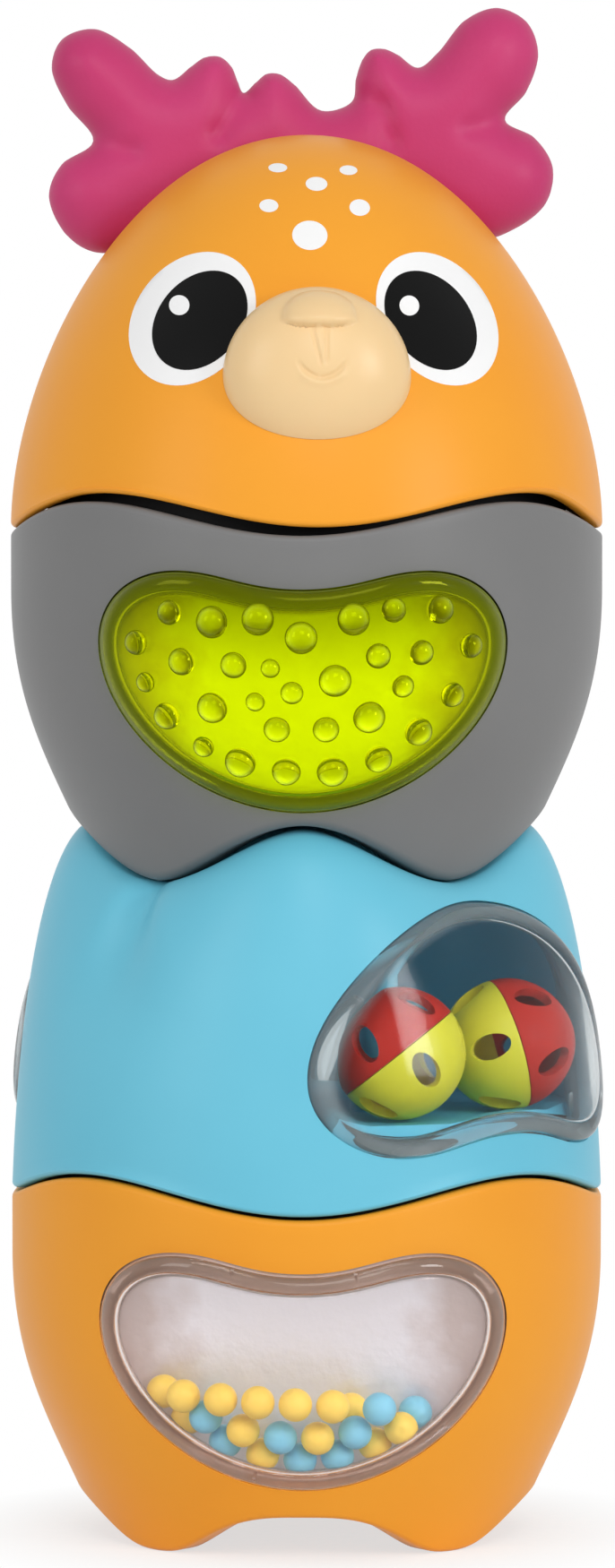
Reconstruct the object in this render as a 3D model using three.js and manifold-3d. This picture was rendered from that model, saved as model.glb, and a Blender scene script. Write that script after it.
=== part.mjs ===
// A stacking toy for babies: two footed bodies, each with a domed cap, that pile up into one tower.
// From the floor up: a body with a bead window, a cap with two ball windows, a body with a knobbly
// window, and the head of a deer. Millimetres, +Z up, the face looks along -Y, and the origin lies
// on the floor under the middle of the tower.
import * as THREE from "three";
import { mergeVertices } from "three/addons/utils/BufferGeometryUtils.js";
import Module from "manifold-3d";

const wasm = await Module();
wasm.setup();
const { lerp, smoothstep, degToRad } = THREE.MathUtils;

// Driving dimensions shared by all four tiers
const RIM_RADIUS = 50; // outside radius of every tier at its seam
const WALL = 2.4; // moulded wall of shells, decks and floors
const FIT = 0.3; // gap between pieces that seat on each other
const FEET = 4; // feet of a body, and waves round a seam
const SEAM_WAVE = 5.4; // rise of a rim from its low points to its high ones
const RIM_ROUND = 1; // rounding along the edge of a rim

// The two bodies: footed cups, measured up from the soles of their feet
const BODY_HEIGHT = 58; // to the low points of the rim
const FOOT_RADIUS = 0.708 * RIM_RADIUS; // outside of the wall at the soles
const FOOT_FLARE = 0.425 * (RIM_RADIUS - FOOT_RADIUS); // how far the wall leans out over FOOT_RUN
const FOOT_RUN = 0.276 * BODY_HEIGHT;
const BELLY_FROM_RIM = 0.552 * BODY_HEIGHT; // where the pull of the upright upper wall starts
const UPRIGHT_FROM_RIM = 0.172 * BODY_HEIGHT; // where the wall has become upright
const SOLE_RADIUS = 0.61 * RIM_RADIUS; // inner edge of a sole
const FLANK_RADIUS = 0.48 * RIM_RADIUS; // a foot rises from here inwards to the middle of the underside
const SOLE_CUT = 0.5; // how far the feet are cut flat
const FOOT_ROUND = 0.5; // rounding along the lower edge
const BASE_ARCH = { rise: 7.8, ease: 2.3, middle: 9 }; // wide arches between the feet
const UPPER_ARCH = { rise: 10.3, ease: 1, middle: 10.6 }; // tall arches that clear the cap below

// The deck that closes a body, with the collar that a cap drops over
const COLLAR_INSET = 6.2; // from the outside of the rim
const COLLAR_RADIUS = RIM_RADIUS - COLLAR_INSET;
const COLLAR_HEIGHT = 12; // above the low points of the rim
const DECK_DROP = 2.8; // underside of the deck's flange below the rim
const DECK_WALL = 2.2;

// The two caps, measured up from the low points of their rims
const CAP_GAP = 0.6; // seam between the lower body and its cap
const HEAD_GAP = 1.4; // seam between the upper body and the head
const CAP_RISE = 53.4; // to the seats of the feet that stand on the cap
const CAP_SHOULDER = 0.562 * CAP_RISE; // pull of the upright lower wall
const CAP_LEAN = 1; // how far the wall leans in over CAP_SHOULDER
const CROWN_RADIUS = 0.7 * RIM_RADIUS; // inside this the crown follows the underside of the body above
const RIDGE_GAP = 0.8; // clearance over the ridges of the crown
const RIDGE_ROUND = 0.19 * RIM_RADIUS; // shoulder of the crown at a ridge
const SEAT_ROUND = 0.13 * RIM_RADIUS; // shoulder of the crown at a foot seat
const HEAD_HEIGHT = 65.4; // to the top of the head's dome
const HEAD_WAIST = { lean: 0.4, pull: 0.39 * HEAD_HEIGHT };
const HEAD_TOP_PULL = 0.61 * RIM_RADIUS;
const HEAD_TURN = degToRad(3.3); // the head is set down a little turned

// Kidney-shaped windows: clear blisters with a flange behind the wall
const WINDOW_HALF_WIDTH = 0.668 * RIM_RADIUS;
const WINDOW_LOBE = 0.614 * WINDOW_HALF_WIDTH; // from the middle to the top of a lobe
const WINDOW_DIP = 3; // how far the edge dips between the lobes
const WINDOW_WIDEST = 11.7; // widest place below the lobes
const WINDOW_PULLS = { dip: 0.46, rise: 0.66, shoulder: 0.58, cheek: 0.385, flank: 0.46, base: 0.54 };
const WINDOW_BELOW_RIM = 6;
const WINDOW_ABOVE_ARCH = 2.3;
const CAP_WINDOW_ABOVE_RIM = 9.6;
const CAP_WINDOW_BELOW_FEET = 3.2;
const CAP_WINDOW_TURNS = { front: degToRad(45), back: degToRad(225) };
const LENS_PROUD = 2.4; // how far a blister stands out of the wall
const LENS_FACE = 1.8; // thickness of its face
const LENS_SIDE = 2.7; // thickness of its side wall behind the face
const LENS_BACK_SIDE = 1.2; // thickness that the side wall thins to at its back
const LENS_ROUND = 1.8; // rounding along its edge
const FLANGE_WIDTH = 1.6;
const FLANGE_THICK = 1.6;
const FLANGE_GAP = 1; // between the flange and the wall it is glued behind
const FLANGE_FADE = 18; // the flange dies away over this height at the narrow end of the window

// What stands behind a body's window
const TRAY_BACK = 0.51 * RIM_RADIUS; // back of the tray from the middle of the tower
const TRAY_WALL = 1.5;
const MIRROR_THICK = 1;
const BEAD_RADIUS = 0.055 * RIM_RADIUS;
const BEAD_PITCH = 2.22; // from bead to bead along a row; the beads' places are all in bead radii
const BEAD_ROWS = [
  { colours: "bybby", first: -4.6, height: 1.69, bow: 0.0495, tilt: 0, behind: 1.53 },
  { colours: "bybyb", first: -5.75, height: 3.1, bow: 0.037, tilt: 0, behind: 0.94 },
  { colours: "yyyyy", first: -7.05, height: 5.32, bow: 0, tilt: -0.05, behind: 0.211 },
]; // height above the window's lower end; bow and tilt lift a bead with its distance from the middle
const STRAY_BEADS = [
  { colour: "b", across: 4.58, height: 5, behind: 0.2 },
  { colour: "y", side: -1, fromSide: 0.66, height: 5.62, behind: 1.7 },
  { colour: "y", side: -1, fromSide: 0.75, height: 3.98, fromFoil: 0.3 },
  { colour: "y", across: 2.9, height: 4.58, behind: 3.2 },
  { colour: "y", side: 1, fromSide: 1.54, height: 3.66, behind: 0.6 },
  { colour: "b", side: 1, fromSide: 1.3, height: 4.4, behind: 1.98 },
]; // four lie by a side of the tray, one of them on the mirror foil
const BUMP_RISE = 0.45; // height of a knob as a share of its radius
const BUMPS = [
  [-21.5, 45.5, 2.1], [-14.5, 44, 2.7], [-7, 44.5, 2.7], [0, 41.5, 2.7], [8.5, 44.5, 2.7], [15, 46, 2.1],
  [22.5, 46, 2.4], [-27, 40.5, 2.1], [-19.5, 37.5, 2.3], [-11, 37, 2.2], [-5, 36.5, 1.6], [12.5, 38.5, 2.1],
  [19.5, 39, 2.1], [27.5, 40, 2.1], [5.5, 34.5, 2.7], [-25.5, 34, 1.7], [16.5, 33.5, 1.9], [-1.5, 32.5, 1.9],
  [-7.5, 31, 1.6], [24.5, 32, 2.1], [-14.5, 30, 2.6], [-22, 28.5, 2.3], [11, 28.5, 2.7], [-4, 26.5, 2.2],
  [4, 26.5, 2.2], [19, 26, 2.4], [-16, 23.5, 1.8], [-10, 21, 2.6], [-2.5, 19.5, 2.4], [5, 19.5, 2.6],
  [12.5, 21.5, 2.3],
]; // knobs of the upper window: across, up from the soles, radius

// The two slotted rattle balls behind the cap's front window
const BALL_RADIUS = 11;
const BALL_WALL = 1.6;
const BALL_SLOTS = 5; // in each half
const BALL_SLOT = { halfWidth: 0.19 * BALL_RADIUS, halfLength: 0.32 * BALL_RADIUS, latitude: degToRad(27) };
const BALL_FROM_RIM = 16.4; // middle of a ball from the outside of the rim
const BALLS = [
  { name: "left_ball", across: -1.036 * BALL_RADIUS, pole: [-0.63, 0.05, 0.78], redTurn: 18, yellowTurn: 14 },
  { name: "right_ball", across: 1.282 * BALL_RADIUS, pole: [0.936, 0.223, 0.27], redTurn: 1, yellowTurn: 60 },
]; // pole points to the middle of the red half, and each half's slots are turned about it, in degrees

// Posts and screws that hold each tier together
const POST_RADIUS = 3.4;
const BOSS_RADIUS = 4.6;
const FLOOR_LIP = 1.7; // width of the ledge that the base's floor plate bears on
const POST_CIRCLE = FLANK_RADIUS - FLOOR_LIP - 2 * FIT - BOSS_RADIUS; // bosses stand inside the ledge
const BOSS_RISE = 2.6;
const SCREW = { headRadius: 2.7, headHeight: 2, shankRadius: 1.4, shankLength: 9 };
const SCREW_RECESS = SCREW.headHeight + 2 * FIT;

// The head's own pieces, measured from the top of its dome
const CREST_BACK = 0.22 * RIM_RADIUS; // middle of the antlers behind the middle of the head
const CREST_HALF_THICK = 0.16 * RIM_RADIUS;
const CREST_EDGE_INSET = 0.034 * RIM_RADIUS; // rounding of the antlers, seen from the front
const CREST_EDGE_DEPTH = 0.1 * RIM_RADIUS; // and seen from the side
const ANTLER_SHARES = [
  [-0.694, -0.395], [-0.808, -0.335], [-0.871, -0.201], [-0.828, -0.093], [-0.719, -0.014],
  [-0.808, 0.108], [-0.86, 0.235], [-0.824, 0.332], [-0.714, 0.367], [-0.593, 0.305], [-0.493, 0.21],
  [-0.446, 0.195], [-0.372, 0.249], [-0.301, 0.277], [-0.245, 0.231], [-0.207, 0.153],
  [-0.144, 0.204], [-0.104, 0.222], [-0.03, 0.179], [0.057, 0.092], [0.162, 0.122], [0.177, 0.202],
  [0.211, 0.291], [0.252, 0.305], [0.319, 0.281], [0.388, 0.238], [0.453, 0.289], [0.547, 0.4],
  [0.657, 0.442], [0.761, 0.393], [0.799, 0.289], [0.761, 0.155], [0.686, 0.061], [0.788, 0],
  [0.85, -0.1], [0.828, -0.221], [0.721, -0.311], [0.56, -0.355], [0.238, -0.234], [0.024, -0.207],
  [-0.204, -0.234], [-0.406, -0.315],
]; // knots of the antlers' outline: across and up from the dome's top, in shares of the rim's radius
const PEG_RADIUS = 3.5;
const PEG_REACH = 3; // past the inside of the wall
const ANTLER_PEG_ACROSS = 0.14 * RIM_RADIUS;
const MUZZLE_HEIGHT = 0.373 * HEAD_HEIGHT; // its middle above the rim
const MUZZLE = { halfWidth: 15.4, above: 14.8, below: 10.5, proud: 6.5, sink: 3 };
const NOSE = { up: 9, halfWidth: 6, halfHeight: 3, proud: 1.2 };

// How finely the solids are faceted
const QUARTER_TURN = [0, 15, 30, 40.5, 45, 49.5, 60, 75]; // degrees, closer together at a foot
const ANGLES = Array.from({ length: FEET }, (_, foot) =>
  QUARTER_TURN.map((step) => degToRad(((foot * 90 + step) * 4) / FEET)),
).flat();
const WALL_STEPS = 5;
const ANTLER_STEPS = 2; // from knot to knot of the antlers' outline
const INNER_STEPS = 4;
const OUTLINE_STEPS = 4; // on each of a window's six curves
const ROUND_SIDES = 32;
const POST_SIDES = 8;
const SCREW_SIDES = 6;

const material = (color, roughness, opacity = 1) =>
  new THREE.MeshStandardMaterial({ color, roughness, opacity, transparent: opacity < 1 });
const ORANGE = material("#f2a541", 0.45);
const BLUE = material("#6fc3dc", 0.45);
const GREY = material("#7d7d7d", 0.5);
const PINK = material("#c23a70", 0.6);
const BEIGE = material("#efcf9c", 0.4);
const CLEAR = material("#e4e6e6", 0.05, 0.3);
const LIME = material("#b8cc05", 0.1, 0.6);
const TRAY_WHITE = material("#d9d4d2", 0.4);
const SILVER = new THREE.MeshStandardMaterial({ color: "#e6e4e6", roughness: 0.08, metalness: 1 });
const STEEL = new THREE.MeshStandardMaterial({ color: "#b9bbbd", roughness: 0.35, metalness: 1 });
const BEAD_COLOURS = { y: ["yellow", material("#f6d24f", 0.4)], b: ["blue", material("#6db7d2", 0.4)] };
const BALL_RED = material("#c8352b", 0.4);
const BALL_YELLOW = material("#dfd23c", 0.4);

// Solids: geometry in and out of the boolean library

// A geometry as a solid, with its faces turned outwards.
function solid(geometry) {
  const bare = new THREE.BufferGeometry();
  bare.setAttribute("position", geometry.getAttribute("position").clone());
  bare.setIndex(geometry.index ? geometry.index.clone() : null);
  const merged = mergeVertices(bare, 1e-4);
  const points = merged.getAttribute("position");
  const corner = [0, 1, 2].map(() => new THREE.Vector3());
  const faces = [];
  let volume = 0;
  for (let i = 0; i < merged.index.count; i += 3) {
    const face = [0, 1, 2].map((k) => merged.index.getX(i + k));
    if (new Set(face).size < 3) continue;
    corner.forEach((vector, k) => vector.fromBufferAttribute(points, face[k]));
    volume += corner[0].dot(corner[1].clone().cross(corner[2]));
    faces.push(face);
  }
  const outward = volume < 0 ? faces.map((face) => face.reverse()) : faces;
  const triVerts = new Uint32Array(outward.flat());
  const vertProperties = new Float32Array(points.array);
  return new wasm.Manifold(new wasm.Mesh({ numProp: 3, vertProperties, triVerts }));
}

function geometryOf(body) {
  const mesh = body.getMesh();
  const geometry = new THREE.BufferGeometry();
  geometry.setAttribute("position", new THREE.BufferAttribute(mesh.vertProperties, 3));
  geometry.setIndex(new THREE.BufferAttribute(mesh.triVerts, 1));
  geometry.computeVertexNormals();
  return geometry;
}

function piece(name, body, finish) {
  const mesh = new THREE.Mesh(geometryOf(body), finish);
  mesh.name = name;
  return mesh;
}

// Skins a stack of rings, in order, into one closed body; a ring of one point is a pole.
function loft(rings) {
  const points = rings.flat();
  const first = rings.map((_, k) => rings.slice(0, k).reduce((sum, ring) => sum + ring.length, 0));
  const faces = [];
  rings.slice(1).forEach((upper, k) => {
    const lower = rings[k];
    const count = Math.max(lower.length, upper.length);
    for (let i = 0; i < count; i++) {
      const next = (i + 1) % count;
      const [a, b] = [i, next].map((n) => first[k] + (n % lower.length));
      const [c, d] = [i, next].map((n) => first[k + 1] + (n % upper.length));
      if (a !== b) faces.push(a, b, d);
      if (c !== d) faces.push(a, d, c);
    }
  });
  const geometry = new THREE.BufferGeometry().setFromPoints(points);
  geometry.setIndex(faces);
  return solid(geometry);
}

function revolve(profile, sides = ROUND_SIDES) {
  const turned = new THREE.LatheGeometry(profile.map(([r, z]) => new THREE.Vector2(r, z)), sides);
  return solid(turned.rotateX(Math.PI / 2));
}

function uprightCylinder(radius, from, to, sides = POST_SIDES) {
  const cylinder = new THREE.CylinderGeometry(radius, radius, to - from, sides);
  return solid(cylinder.rotateX(Math.PI / 2).translate(0, 0, (from + to) / 2));
}

const moved = (body, x, y, z = 0) => body.translate([x, y, z]);
const union = (bodies) => bodies.reduce((all, body) => all.add(body));

// Forms: the surfaces that the tiers share

const onTier = (radius, angle, z) =>
  new THREE.Vector3(radius * Math.sin(angle), -radius * Math.cos(angle), z);
const ringOf = (radius, height) => ANGLES.map((angle) => onTier(radius(angle), angle, height(angle)));
const wave = (angle) => (1 + Math.cos(FEET * angle)) / 2; // 1 between two feet, 0 at a foot
const rimHeight = (angle) => SEAM_WAVE * (1 - wave(angle));
const steps = (count) => Array.from({ length: count + 1 }, (_, i) => i / count);

// Height of the lower edge of a body's wall: an arch between two feet, cut flat at the soles.
function archHeight(arch, angle) {
  const share = 1 - (1 - wave(angle)) ** arch.ease;
  return Math.max(0, (arch.rise + SOLE_CUT) * share - SOLE_CUT);
}

// Height of a body's underside, from the arches and soles at its edge to the raised middle.
const underside = (arch, radius, angle) =>
  lerp(arch.middle, archHeight(arch, angle), smoothstep(radius, FLANK_RADIUS, SOLE_RADIUS));

// Where along a rising or falling profile curve a height is reached.
function parameterAt(curve, height) {
  let [low, high] = [0, 1];
  for (let i = 0; i < 30; i++) {
    const middle = (low + high) / 2;
    if (curve.getPoint(middle).y < height) low = middle;
    else high = middle;
  }
  return low;
}

const radiusOn = (curve, height) => curve.getPoint(parameterAt(curve, height)).x;

const curveOf = (...points) => new THREE.CubicBezierCurve(...points.map(([r, z]) => new THREE.Vector2(r, z)));

const bodySide = curveOf(
  [FOOT_RADIUS, 0],
  [FOOT_RADIUS + FOOT_FLARE, FOOT_RUN],
  [RIM_RADIUS, BODY_HEIGHT - BELLY_FROM_RIM],
  [RIM_RADIUS, BODY_HEIGHT - UPRIGHT_FROM_RIM],
);
const bodyRadius = (z) => (z < BODY_HEIGHT - UPRIGHT_FROM_RIM ? radiusOn(bodySide, z) : RIM_RADIUS);

// The crown of the ball cap lies under the upper body: feet find their seats and arches clear the ridges.
const crownHeight = (radius, angle) =>
  CAP_RISE + underside(UPPER_ARCH, radius, angle) - lerp(FIT, RIDGE_GAP, wave(angle));

function capSide(angle, inset = 0) {
  const edge = crownHeight(CROWN_RADIUS, angle) - inset;
  const shoulder = lerp(SEAT_ROUND, RIDGE_ROUND, wave(angle));
  return curveOf(
    [RIM_RADIUS - inset, 0],
    [RIM_RADIUS - CAP_LEAN - inset, CAP_SHOULDER],
    [CROWN_RADIUS + shoulder - inset, edge],
    [CROWN_RADIUS - inset, edge],
  );
}
const capRadius = (z, angle) => radiusOn(capSide(angle), z);

const headSide = (inset = 0) =>
  curveOf(
    [RIM_RADIUS - inset, 0],
    [RIM_RADIUS - HEAD_WAIST.lean - inset, HEAD_WAIST.pull],
    [HEAD_TOP_PULL, HEAD_HEIGHT - inset],
    [0, HEAD_HEIGHT - inset],
  );
const headRadius = (z) => radiusOn(headSide(), z);

// The outline of a window, across and up, with its outward directions; the cap's windows are upside down.
function windowOf(top, bottom, inverted = false) {
  const [half, lobe, dip] = [WINDOW_HALF_WIDTH, WINDOW_LOBE, top - WINDOW_DIP];
  const widest = top - WINDOW_WIDEST;
  const pull = WINDOW_PULLS;
  const cheek = lerp(top, widest, pull.cheek);
  const right = [
    [[0, dip], [lobe * pull.dip, dip], [lobe * pull.rise, top], [lobe, top]],
    [[lobe, top], [lerp(lobe, half, pull.shoulder), top], [half, cheek], [half, widest]],
    [[half, widest], [half, lerp(widest, bottom, pull.flank)], [half * pull.base, bottom], [0, bottom]],
  ];
  const left = right.map((curve) => curve.map(([x, z]) => [-x, z]).reverse()).reverse();
  const path = new THREE.CurvePath();
  const turnOver = ([x, z]) => [x, inverted ? top + bottom - z : z];
  [...right, ...left].forEach((curve) => path.add(curveOf(...curve.map(turnOver))));
  const points = path.getPoints(OUTLINE_STEPS).slice(0, -1);
  const side = inverted ? -1 : 1;
  const outward = points.map((_, i) => {
    const along = points[(i + 1) % points.length].clone().sub(points.at(i - 1)).normalize();
    return new THREE.Vector2(-along.y, along.x).multiplyScalar(side);
  });
  const middle = new THREE.Vector2(0, (top + bottom) / 2);
  return { points, outward, middle, narrowEnd: inverted ? top : bottom };
}

// The outline moved outwards; a fading one comes back to the outline at the window's narrow end.
function outset(window, width, fading = false) {
  return window.points.map((point, i) => {
    const share = fading ? smoothstep(Math.abs(point.y - window.narrowEnd), 0, FLANGE_FADE) : 1;
    return point.clone().addScaledVector(window.outward[i], width * share);
  });
}

const shrunk = (window, share) => window.points.map((point) => window.middle.clone().lerp(point, share));

// Lays points across and up on a tier's wall, a given height proud of it.
function onWall(surface, points, proud) {
  return points.map(({ x, y: z }) => {
    let depth = RIM_RADIUS;
    for (let i = 0; i < 6; i++) {
      const radius = surface(z, Math.atan2(x, depth)) + proud;
      depth = Math.sqrt(Math.max(radius * radius - x * x, 1));
    }
    return new THREE.Vector3(x, -depth, z);
  });
}

const onPlane = (points, depth) => points.map(({ x, y: z }) => new THREE.Vector3(x, -depth, z));

// A straight plug in the shape of a window, from one depth to another.
function windowPlug(points, from, to) {
  const plug = new THREE.ExtrudeGeometry(new THREE.Shape(points), { depth: to - from, bevelEnabled: false });
  return solid(plug.rotateX(Math.PI / 2).translate(0, -from, 0));
}

// Pieces of a window

const LENS_FLANGE_FRONT = -(WALL + FLANGE_GAP);
const LENS_BACK = LENS_FLANGE_FRONT - FLANGE_THICK;

function lens(window, surface) {
  const inside = LENS_PROUD - LENS_FACE;
  const edge = (width, proud, fading) => onWall(surface, outset(window, width, fading), proud);
  const face = (proud) => [0.35, 0.7].map((share) => onWall(surface, shrunk(window, share), proud));
  const middle = (proud) => onWall(surface, [window.middle], proud);
  return loft([
    middle(LENS_PROUD),
    ...face(LENS_PROUD),
    edge(-LENS_ROUND, LENS_PROUD),
    edge(-LENS_ROUND * 0.3, LENS_PROUD - LENS_ROUND * 0.3),
    edge(0, LENS_PROUD - LENS_ROUND),
    edge(0, LENS_FLANGE_FRONT),
    edge(FLANGE_WIDTH, LENS_FLANGE_FRONT, true),
    edge(FLANGE_WIDTH, LENS_BACK, true),
    edge(-LENS_BACK_SIDE, LENS_BACK),
    edge(-LENS_SIDE, inside),
    ...face(inside).reverse(),
    middle(inside),
  ]);
}

// The room that a lens takes up behind the wall.
function lensRoom(window, surface) {
  const edge = (proud) => onWall(surface, outset(window, FLANGE_WIDTH + FIT), proud);
  const middle = (proud) => onWall(surface, [window.middle], proud);
  const [back, front] = [LENS_BACK - FIT, LENS_PROUD];
  return loft([middle(back), edge(back), edge(front), middle(front)]);
}

function tray(window, surface) {
  const front = LENS_BACK - FIT;
  const floor = TRAY_BACK + TRAY_WALL;
  return loft([
    onPlane([window.middle], TRAY_BACK),
    onPlane(outset(window, FLANGE_WIDTH, true), TRAY_BACK),
    onWall(surface, outset(window, FLANGE_WIDTH, true), front),
    onWall(surface, outset(window, -LENS_BACK_SIDE), front),
    onPlane(outset(window, -LENS_BACK_SIDE), floor),
    onPlane([window.middle], floor),
  ]);
}

const FOIL_FRONT = TRAY_BACK + TRAY_WALL + FIT + MIRROR_THICK;

function mirror(window) {
  return windowPlug(outset(window, -LENS_BACK_SIDE - FIT), FOIL_FRONT - MIRROR_THICK, FOIL_FRONT);
}

// One knob of the knobbly window: a flattened ball half sunk in the face of the lens.
function knob([across, up, radius], surface) {
  const [place] = onWall(surface, [new THREE.Vector2(across, up)], LENS_PROUD);
  const ball = new THREE.SphereGeometry(radius, 6, 3).scale(1, BUMP_RISE, 1);
  return solid(ball.rotateZ(Math.atan2(across, -place.y)).translate(place.x, place.y, place.z));
}

// Screws, posts and the seats they meet in

const POST_ANGLES = Array.from({ length: FEET }, (_, foot) => ((foot + 0.5) * 2 * Math.PI) / FEET);
const postPlaces = POST_ANGLES.map((angle) => onTier(POST_CIRCLE, angle, 0));
const atPosts = (body) => postPlaces.map((place) => moved(body, place.x, place.y));
const postFoot = (plate) => plate + WALL + BOSS_RISE + FIT;
const screwTip = (plate) => plate + FIT + SCREW.headHeight + SCREW.shankLength;

// Adds bosses to a plate whose underside lies at a height, with a recess and a hole for each screw.
function withScrewSeats(body, plate) {
  const boss = uprightCylinder(BOSS_RADIUS, plate + WALL / 2, plate + WALL + BOSS_RISE);
  const recess = uprightCylinder(SCREW.headRadius + FIT, plate - WALL, plate + SCREW_RECESS);
  const hole = uprightCylinder(SCREW.shankRadius + FIT, plate, postFoot(plate));
  return union([body, ...atPosts(boss)]).subtract(union(atPosts(recess.add(hole))));
}

// Posts that reach down from inside a body to the bosses of a plate, each drilled for its screw.
function withPosts(body, plate, top, filled) {
  const post = uprightCylinder(POST_RADIUS, postFoot(plate), top);
  const drill = uprightCylinder(SCREW.shankRadius + FIT, plate, screwTip(plate) + FIT);
  const posts = union(atPosts(post)).intersect(filled);
  return body.add(posts).subtract(union(atPosts(drill)));
}

function screws(tier, plate) {
  const head = plate + FIT;
  const [wide, thin] = [SCREW.headRadius, SCREW.shankRadius];
  const under = head + SCREW.headHeight;
  const tip = screwTip(plate);
  const profile = [[0, head], [wide, head], [wide, under], [thin, under], [thin, tip], [0, tip]];
  const body = revolve(profile, SCREW_SIDES);
  return atPosts(body).map((screw, i) => piece(`${tier}_screw_${i + 1}`, screw, STEEL));
}

// Shells

// A footed cup: underside and feet, outer wall, rounded rim, then down the inside to the floor. Where
// the floor is a plate of its own, the cup ends in a ledge that the plate bears on from below.
function bodyShell(arch, window, plateFloor) {
  const edge = (angle) => archHeight(arch, angle);
  const rim = (angle) => BODY_HEIGHT + rimHeight(angle);
  const under = (radius, lift) => ringOf(() => radius, (angle) => underside(arch, radius, angle) + lift);
  const wall = (height, inset) => ringOf((angle) => bodyRadius(height(angle)) - inset, height);
  const between = (from, to, count) => steps(count).map((s) => (angle) => lerp(from(angle), to(angle), s));
  const outer = between((a) => edge(a) + FOOT_ROUND, (a) => rim(a) - RIM_ROUND, WALL_STEPS);
  const inner = between((a) => rim(a) - RIM_ROUND / 2, (a) => edge(a) + WALL + FOOT_ROUND, INNER_STEPS);
  const ledge = (radius, lift) => ringOf(() => radius, () => arch.middle + lift);
  const lip = FLANK_RADIUS - FLOOR_LIP;
  const start = plateFloor
    ? [ledge(lip, WALL / 2), ledge(FLANK_RADIUS, WALL / 2)]
    : [[new THREE.Vector3(0, 0, arch.middle)]];
  const end = plateFloor
    ? [ledge(lip, WALL), ledge(lip, WALL / 2)]
    : [[new THREE.Vector3(0, 0, arch.middle + WALL)]];
  const cup = loft([
    ...start,
    under(FLANK_RADIUS, 0),
    under((FLANK_RADIUS + SOLE_RADIUS) / 2, 0),
    under(SOLE_RADIUS, 0),
    wall(edge, FOOT_ROUND),
    ...outer.map((height) => wall(height, 0)),
    wall((angle) => rim(angle) - RIM_ROUND * 0.3, RIM_ROUND * 0.3),
    wall(rim, RIM_ROUND),
    wall(rim, WALL - RIM_ROUND / 2),
    ...inner.map((height) => wall(height, WALL)),
    under(SOLE_RADIUS, WALL),
    under(FLANK_RADIUS, WALL),
    ...end,
  ]);
  const opening = windowPlug(outset(window, FIT), TRAY_BACK - FIT, 2 * RIM_RADIUS);
  const shell = cup.subtract(opening);
  return plateFloor ? shell : withScrewSeats(shell, arch.middle);
}

// The base's floor plate, let into the underside against the ledge.
function baseFloor(arch) {
  const [bottom, top] = [arch.middle, arch.middle + WALL];
  const [wide, narrow] = [FLANK_RADIUS - FIT, FLANK_RADIUS - FLOOR_LIP - FIT];
  const step = bottom + WALL / 2 - FIT;
  const plate = revolve([[0, bottom], [wide, bottom], [wide, step], [narrow, step], [narrow, top], [0, top]]);
  return withScrewSeats(plate, bottom);
}

// The deck that closes a body: a flange inside the rim, a collar to stack on, and posts down to the floor.
function bodyDeck(arch) {
  const flange = RIM_RADIUS - WALL - 3 * FIT;
  const under = BODY_HEIGHT - DECK_DROP;
  const top = BODY_HEIGHT + COLLAR_HEIGHT;
  const hat = revolve([
    [0, top],
    [COLLAR_RADIUS - RIM_ROUND, top],
    [COLLAR_RADIUS, top - RIM_ROUND],
    [COLLAR_RADIUS, under + DECK_WALL],
    [flange, under + DECK_WALL],
    [flange, under],
    [COLLAR_RADIUS - DECK_WALL, under],
    [COLLAR_RADIUS - DECK_WALL, top - DECK_WALL],
    [0, top - DECK_WALL],
  ]);
  const room = uprightCylinder(COLLAR_RADIUS, 0, top - DECK_WALL / 2);
  return withPosts(hat, arch.middle, top, room);
}

// The rings of a domed cap's skin, from the crown down to the rim; inset gives the inside of the wall.
function capRings(inset) {
  const crown = (radius) => ringOf(() => radius, (angle) => crownHeight(radius, angle) - inset);
  const side = steps(inset > 0 ? INNER_STEPS : WALL_STEPS).map((s) => ANGLES.map((angle) => {
    const curve = capSide(angle, inset);
    const point = curve.getPoint(lerp(1, parameterAt(curve, rimHeight(angle) + RIM_ROUND), s));
    return onTier(point.x, angle, point.y);
  }));
  return [
    [new THREE.Vector3(0, 0, crownHeight(0, 0) - inset)],
    crown(FLANK_RADIUS),
    crown((FLANK_RADIUS + SOLE_RADIUS) / 2),
    crown(SOLE_RADIUS),
    ...side,
  ];
}

function headRings(inset) {
  const curve = headSide(inset);
  const [top, ...side] = steps(inset > 0 ? INNER_STEPS + 1 : WALL_STEPS + 1);
  return [
    [new THREE.Vector3(top, 0, HEAD_HEIGHT - inset)],
    ...side.map((s) => ANGLES.map((angle) => {
      const point = curve.getPoint(lerp(1, parameterAt(curve, rimHeight(angle) + RIM_ROUND), s));
      return onTier(point.x, angle, point.y);
    })),
  ];
}

// A cap from the rings of its outside and inside, joined round a rounded rim.
function capShell(rings, plate) {
  const rim = (inset, lift) => ringOf(() => RIM_RADIUS - inset, (angle) => rimHeight(angle) + lift);
  const outside = [...rings(0), rim(RIM_ROUND * 0.3, RIM_ROUND * 0.3), rim(RIM_ROUND, 0)];
  const shell = loft([...outside, rim(WALL - RIM_ROUND / 2, 0), ...rings(WALL).reverse()]);
  const filled = loft([...outside, [new THREE.Vector3(0, 0, 0)]]);
  return withPosts(shell, plate, 2 * HEAD_HEIGHT, filled);
}

// The floor of a cap, which rests on the collar below.
function capFloor(radius, plate) {
  const disc = revolve([[0, plate], [radius, plate], [radius, plate + WALL], [0, plate + WALL]]);
  return withScrewSeats(disc, plate);
}

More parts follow.
